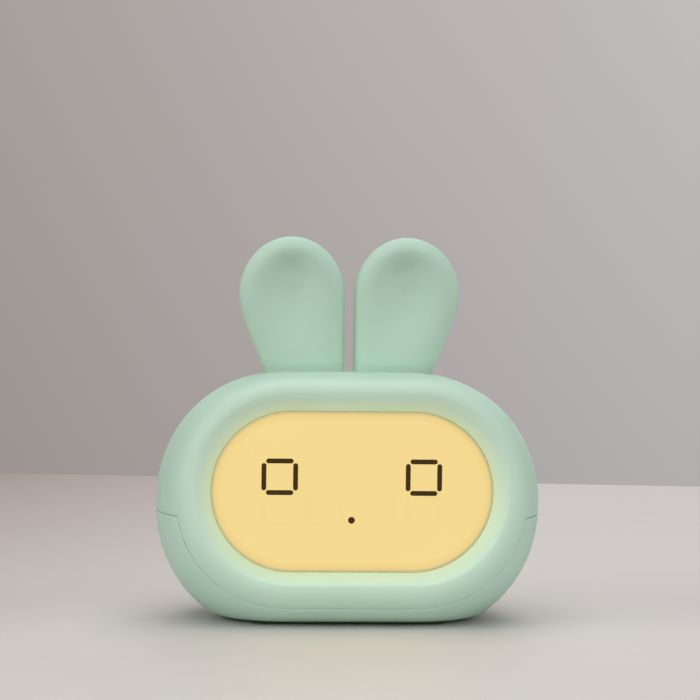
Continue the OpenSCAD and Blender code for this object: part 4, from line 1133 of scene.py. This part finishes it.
def alarm_slider():
    """The alarm switch's slider: a stem in the switch, and a rounded head with three finger grooves."""
    x = OUTER_CONTROL_REACH + SLIDER_TRAVEL / 2
    shoulder_y = PANEL_INNER_Y - SLIDER_SHOULDER_GAP
    rounding = quarter_round(SLIDER_ROUNDING, SLIDER_STEPS)
    head_steps = [(shoulder_y, 0)] + [(BUTTON_FRONT_Y - y, -margin) for y, margin in rounding]
    head = rounded_box(SLIDER_LENGTH, SLIDER_HEIGHT, SLIDER_CORNER)
    stem = rounded_box(SLIDER_LENGTH - 2 * SLIDER_STEP, SLIDER_HEIGHT - 2 * SLIDER_STEP, SLIDER_STEP)
    stem_steps = [(SLIDER_STEM_Y, 0), (shoulder_y + SLIDER_STEP, 0)]
    groove = circle(SLIDER_GROOVE_RADIUS, steps=20)
    groove_steps = [(CONTROL_HEIGHT - SLIDER_HEIGHT, 0), (CONTROL_HEIGHT + SLIDER_HEIGHT, 0)]
    places = [x + i * SLIDER_GROOVE_PITCH for i in (-1, 0, 1)]
    obj = mesh_object("alarm_slider_cap", *along_y(head, x, CONTROL_HEIGHT, head_steps), button_plastic)
    carve(obj, [along_y(stem, x, CONTROL_HEIGHT, stem_steps)], "UNION")
    carve(obj, [along_z(groove, place, BUTTON_FRONT_Y, groove_steps) for place in places], "DIFFERENCE")
    smooth_by_angle(obj)
    piece(obj, "alarm_slider", "button_plastic", "alarm_switch_slider")


def soften(names, width):
    """Rounds the sharp edges of CAD nodes by a width in millimetres."""
    for name in names:
        bevel = nodes[name].modifiers.new("soft_edges", "BEVEL")
        bevel.width = width * MM
        bevel.segments = 3
        bevel.limit_method = "ANGLE"
        bevel.angle_limit = math.radians(40)
        bevel.harden_normals = True


for name, x in zip(("mode", "down", "up", "light"), BUTTONS_X):
    push_button(name, x)
alarm_slider()
soften([name for name in nodes if name.endswith("_foot")], width=0.3)
soften(["usb_socket_shell", "charge_light_pipe"], width=0.1)
soften(["usb_socket_tongue"], width=0.15)


# ---- Camera, light and surroundings ----

AIM = Vector((0, 0, 60))
CAMERA_DISTANCE = 780
CAMERA_YAW = -3.826
CAMERA_ELEVATION = 4.089
CAMERA_ROLL = 0.73
PITCH_UP = 1.777
TURN_RIGHT = 0.025
FOCAL_LENGTH = 127.3


def camera():
    """The camera stands where the photographer stood, and looks a little above the clock's middle."""
    yaw, elevation = math.radians(CAMERA_YAW), math.radians(CAMERA_ELEVATION)
    back = Vector((
        math.sin(yaw) * math.cos(elevation),
        -math.cos(yaw) * math.cos(elevation),
        math.sin(elevation),
    ))
    data = bpy.data.cameras.new("camera")
    data.lens = FOCAL_LENGTH
    data.clip_start = 0.01
    data.clip_end = 20
    turn = back.to_track_quat("Z", "Y").to_matrix()
    turn = turn @ Matrix.Rotation(math.radians(-TURN_RIGHT), 3, "Y")
    turn = turn @ Matrix.Rotation(math.radians(PITCH_UP), 3, "X")
    turn = turn @ Matrix.Rotation(math.radians(CAMERA_ROLL), 3, "Z")
    obj = new_object("camera", data)
    obj.matrix_world = Matrix.Translation((AIM + back * CAMERA_DISTANCE) * MM) @ turn.to_4x4()
    bpy.context.scene.camera = obj


# The table, in metres, with its colours, a painted shade at the far left, and where they change
TABLE_REACH = 4.0
TABLE_BACK_LEFT = 0.505
TABLE_BACK_RIGHT = 0.455
TABLE_BACK_REACH = 0.18
TABLE_EDGE = 0.012
TABLE_EDGE_STEPS = 8
TABLE_COLOUR = (207, 202, 199)
TABLE_FAR_LEFT_SHADE = (158, 142, 135)
TABLE_FADE = (-0.38, -0.05)
TABLE_FADE_SLANT = 0.4

# The room's even light, and the wall's painted light and shade: its colours and shades with the directions
# between which they change
ROOM_LIGHT = 0.12
WALL_LEFT = (166, 157, 154)
WALL_RIGHT = (190, 186, 186)
WALL_TURN = (-0.08, 0.2)
WALL_SHADES = (0.87, 1.03)
WALL_RISE = (-0.09, 0.1)

# Lights, with places and sizes in metres and power in watts. The night light's gap is in millimetres
LIGHT_AIM = (0, 0, 0.05)
BASE_LIGHT_CONE = 20
BASE_LIGHT_RADIUS = 0.01
NIGHT_LIGHT_SHARE = 0.85
NIGHT_LIGHT_GAP = 0.1
NIGHT_LIGHT_COLOUR = (250, 238, 200)


def table_paint_material():
    """Satin paint with painted shade that makes it a little darker at the far left."""
    material, tree, shader = principled("shaded_table_paint")
    place = coordinates(tree)
    slant = calculated(tree, "MULTIPLY_ADD", place["Y"], -TABLE_FADE_SLANT, place["X"])
    colour = mixed(tree, linear(TABLE_FAR_LEFT_SHADE), linear(TABLE_COLOUR), ramp(tree, slant, 0, 1, *TABLE_FADE))
    fill(tree, shader, {"Base Color": colour, "Roughness": ramp(tree, noise(tree, scale=40), 0.45, 0.55)})
    bumped(tree, shader, scale=700, depth=0.04, strength=0.2)
    return material


def table():
    """A table top with a rounded back edge, which runs a little nearer at the right."""
    turn = (TABLE_BACK_RIGHT - TABLE_BACK_LEFT) / (2 * TABLE_BACK_REACH)
    middle = (TABLE_BACK_RIGHT + TABLE_BACK_LEFT) / 2
    edge = quarter_round(TABLE_EDGE, TABLE_EDGE_STEPS)
    points = []
    for x in (-TABLE_REACH, TABLE_REACH):
        back = middle + turn * x
        points.append((x, -TABLE_REACH, 0))
        points += [(x, back - y, -z) for y, z in edge]
        points.append((x, back, -TABLE_REACH))
    count = len(points) // 2
    faces = [[i, i + 1, i + 1 + count, i + count] for i in range(count - 1)]
    mesh = bpy.data.meshes.new("table")
    mesh.from_pydata(points, [], faces)
    mesh.shade_smooth()
    mesh.materials.append(table_paint_material())
    obj = new_object("table", mesh)


def room():
    """Even light from all round. What is seen or mirrored is a grey wall with painted light, paler at the
    right and top.
    """
    world = bpy.data.worlds.new("room")
    world.use_nodes = True
    tree = world.node_tree
    light = tree.nodes["Background"]
    fill(tree, light, {"Color": (1, 1, 1, 1), "Strength": ROOM_LIGHT})
    direction = coordinates(tree, "Generated")
    wall = tree.nodes.new("ShaderNodeBackground")
    colour = mixed(tree, linear(WALL_LEFT), linear(WALL_RIGHT), ramp(tree, direction["X"], 0, 1, *WALL_TURN))
    fill(tree, wall, {"Color": colour, "Strength": ramp(tree, direction["Z"], *WALL_SHADES, *WALL_RISE)})
    path = tree.nodes.new("ShaderNodeLightPath").outputs
    mirrored = calculated(tree, "MAXIMUM", path["Is Glossy Ray"], path["Is Transmission Ray"])
    seen = calculated(tree, "MAXIMUM", path["Is Camera Ray"], mirrored)
    choice = tree.nodes.new("ShaderNodeMixShader")
    fill(tree, choice, {"Fac": seen, 1: light.outputs[0], 2: wall.outputs[0]})
    fill(tree, tree.nodes["World Output"], {"Surface": choice.outputs[0]})
    bpy.context.scene.world = world


def new_light(name, kind, power, place):
    """A light in the scene that isn't turned yet."""
    data = bpy.data.lights.new(name, kind)
    data.energy = power
    obj = new_object(name, data)
    obj.location = place
    return obj


def turned_to(obj, aim):
    """The rotation that turns a light to a place."""
    return (obj.location - Vector(aim)).to_track_quat("Z", "Y").to_euler()


def area_light(name, place, size, power, glare=True):
    """A square soft light that shines at the clock. It may be kept out of gloss."""
    obj = new_light(name, "AREA", power, place)
    obj.data.size = size
    obj.rotation_euler = turned_to(obj, LIGHT_AIM)
    obj.visible_glossy = glare


def base_light(place, aim, power):
    """A small lamp low on the table in front, whose soft-edged cone only reaches the clock's underside."""
    obj = new_light("base_light", "SPOT", power, place)
    obj.data.spot_size = math.radians(BASE_LIGHT_CONE)
    obj.data.spot_blend = 1
    obj.data.shadow_soft_size = BASE_LIGHT_RADIUS
    obj.rotation_euler = turned_to(obj, aim)
    obj.visible_camera = False
    obj.visible_glossy = False


def night_light(power):
    """The night light's glow on the rim and the table, from just in front of the window, unseen itself."""
    place = (0, (WINDOW_Y - NIGHT_LIGHT_GAP) * MM, WINDOW_CENTRE * MM)
    obj = new_light("night_light", "AREA", power, place)
    obj.data.shape = "ELLIPSE"
    obj.data.size = NIGHT_LIGHT_SHARE * (2 * WINDOW_STRAIGHT + WINDOW_HEIGHT) * MM
    obj.data.size_y = NIGHT_LIGHT_SHARE * WINDOW_HEIGHT * MM
    obj.data.color = linear(NIGHT_LIGHT_COLOUR)[:3]
    obj.rotation_euler = (math.radians(-90), 0, 0)
    obj.visible_camera = False


camera()
table()
room()
area_light("top_light", place=(0, -0.2, 1.4), size=1.5, power=14)
area_light("front_light", place=(0.35, -2.5, 0.75), size=1.2, power=9, glare=False)
area_light("left_light", place=(-1.2, -0.5, 0.5), size=0.8, power=7)
area_light("right_light", place=(1.2, -0.5, 0.5), size=0.8, power=4)
base_light(place=(0, -0.5, 0.012), aim=(0, 0, 0.02), power=1.9)
area_light("back_light", place=(0.2, 0.9, 1.0), size=0.8, power=5, glare=False)
night_light(power=0.0015)
bpy.context.scene.view_settings.view_transform = "Standard"
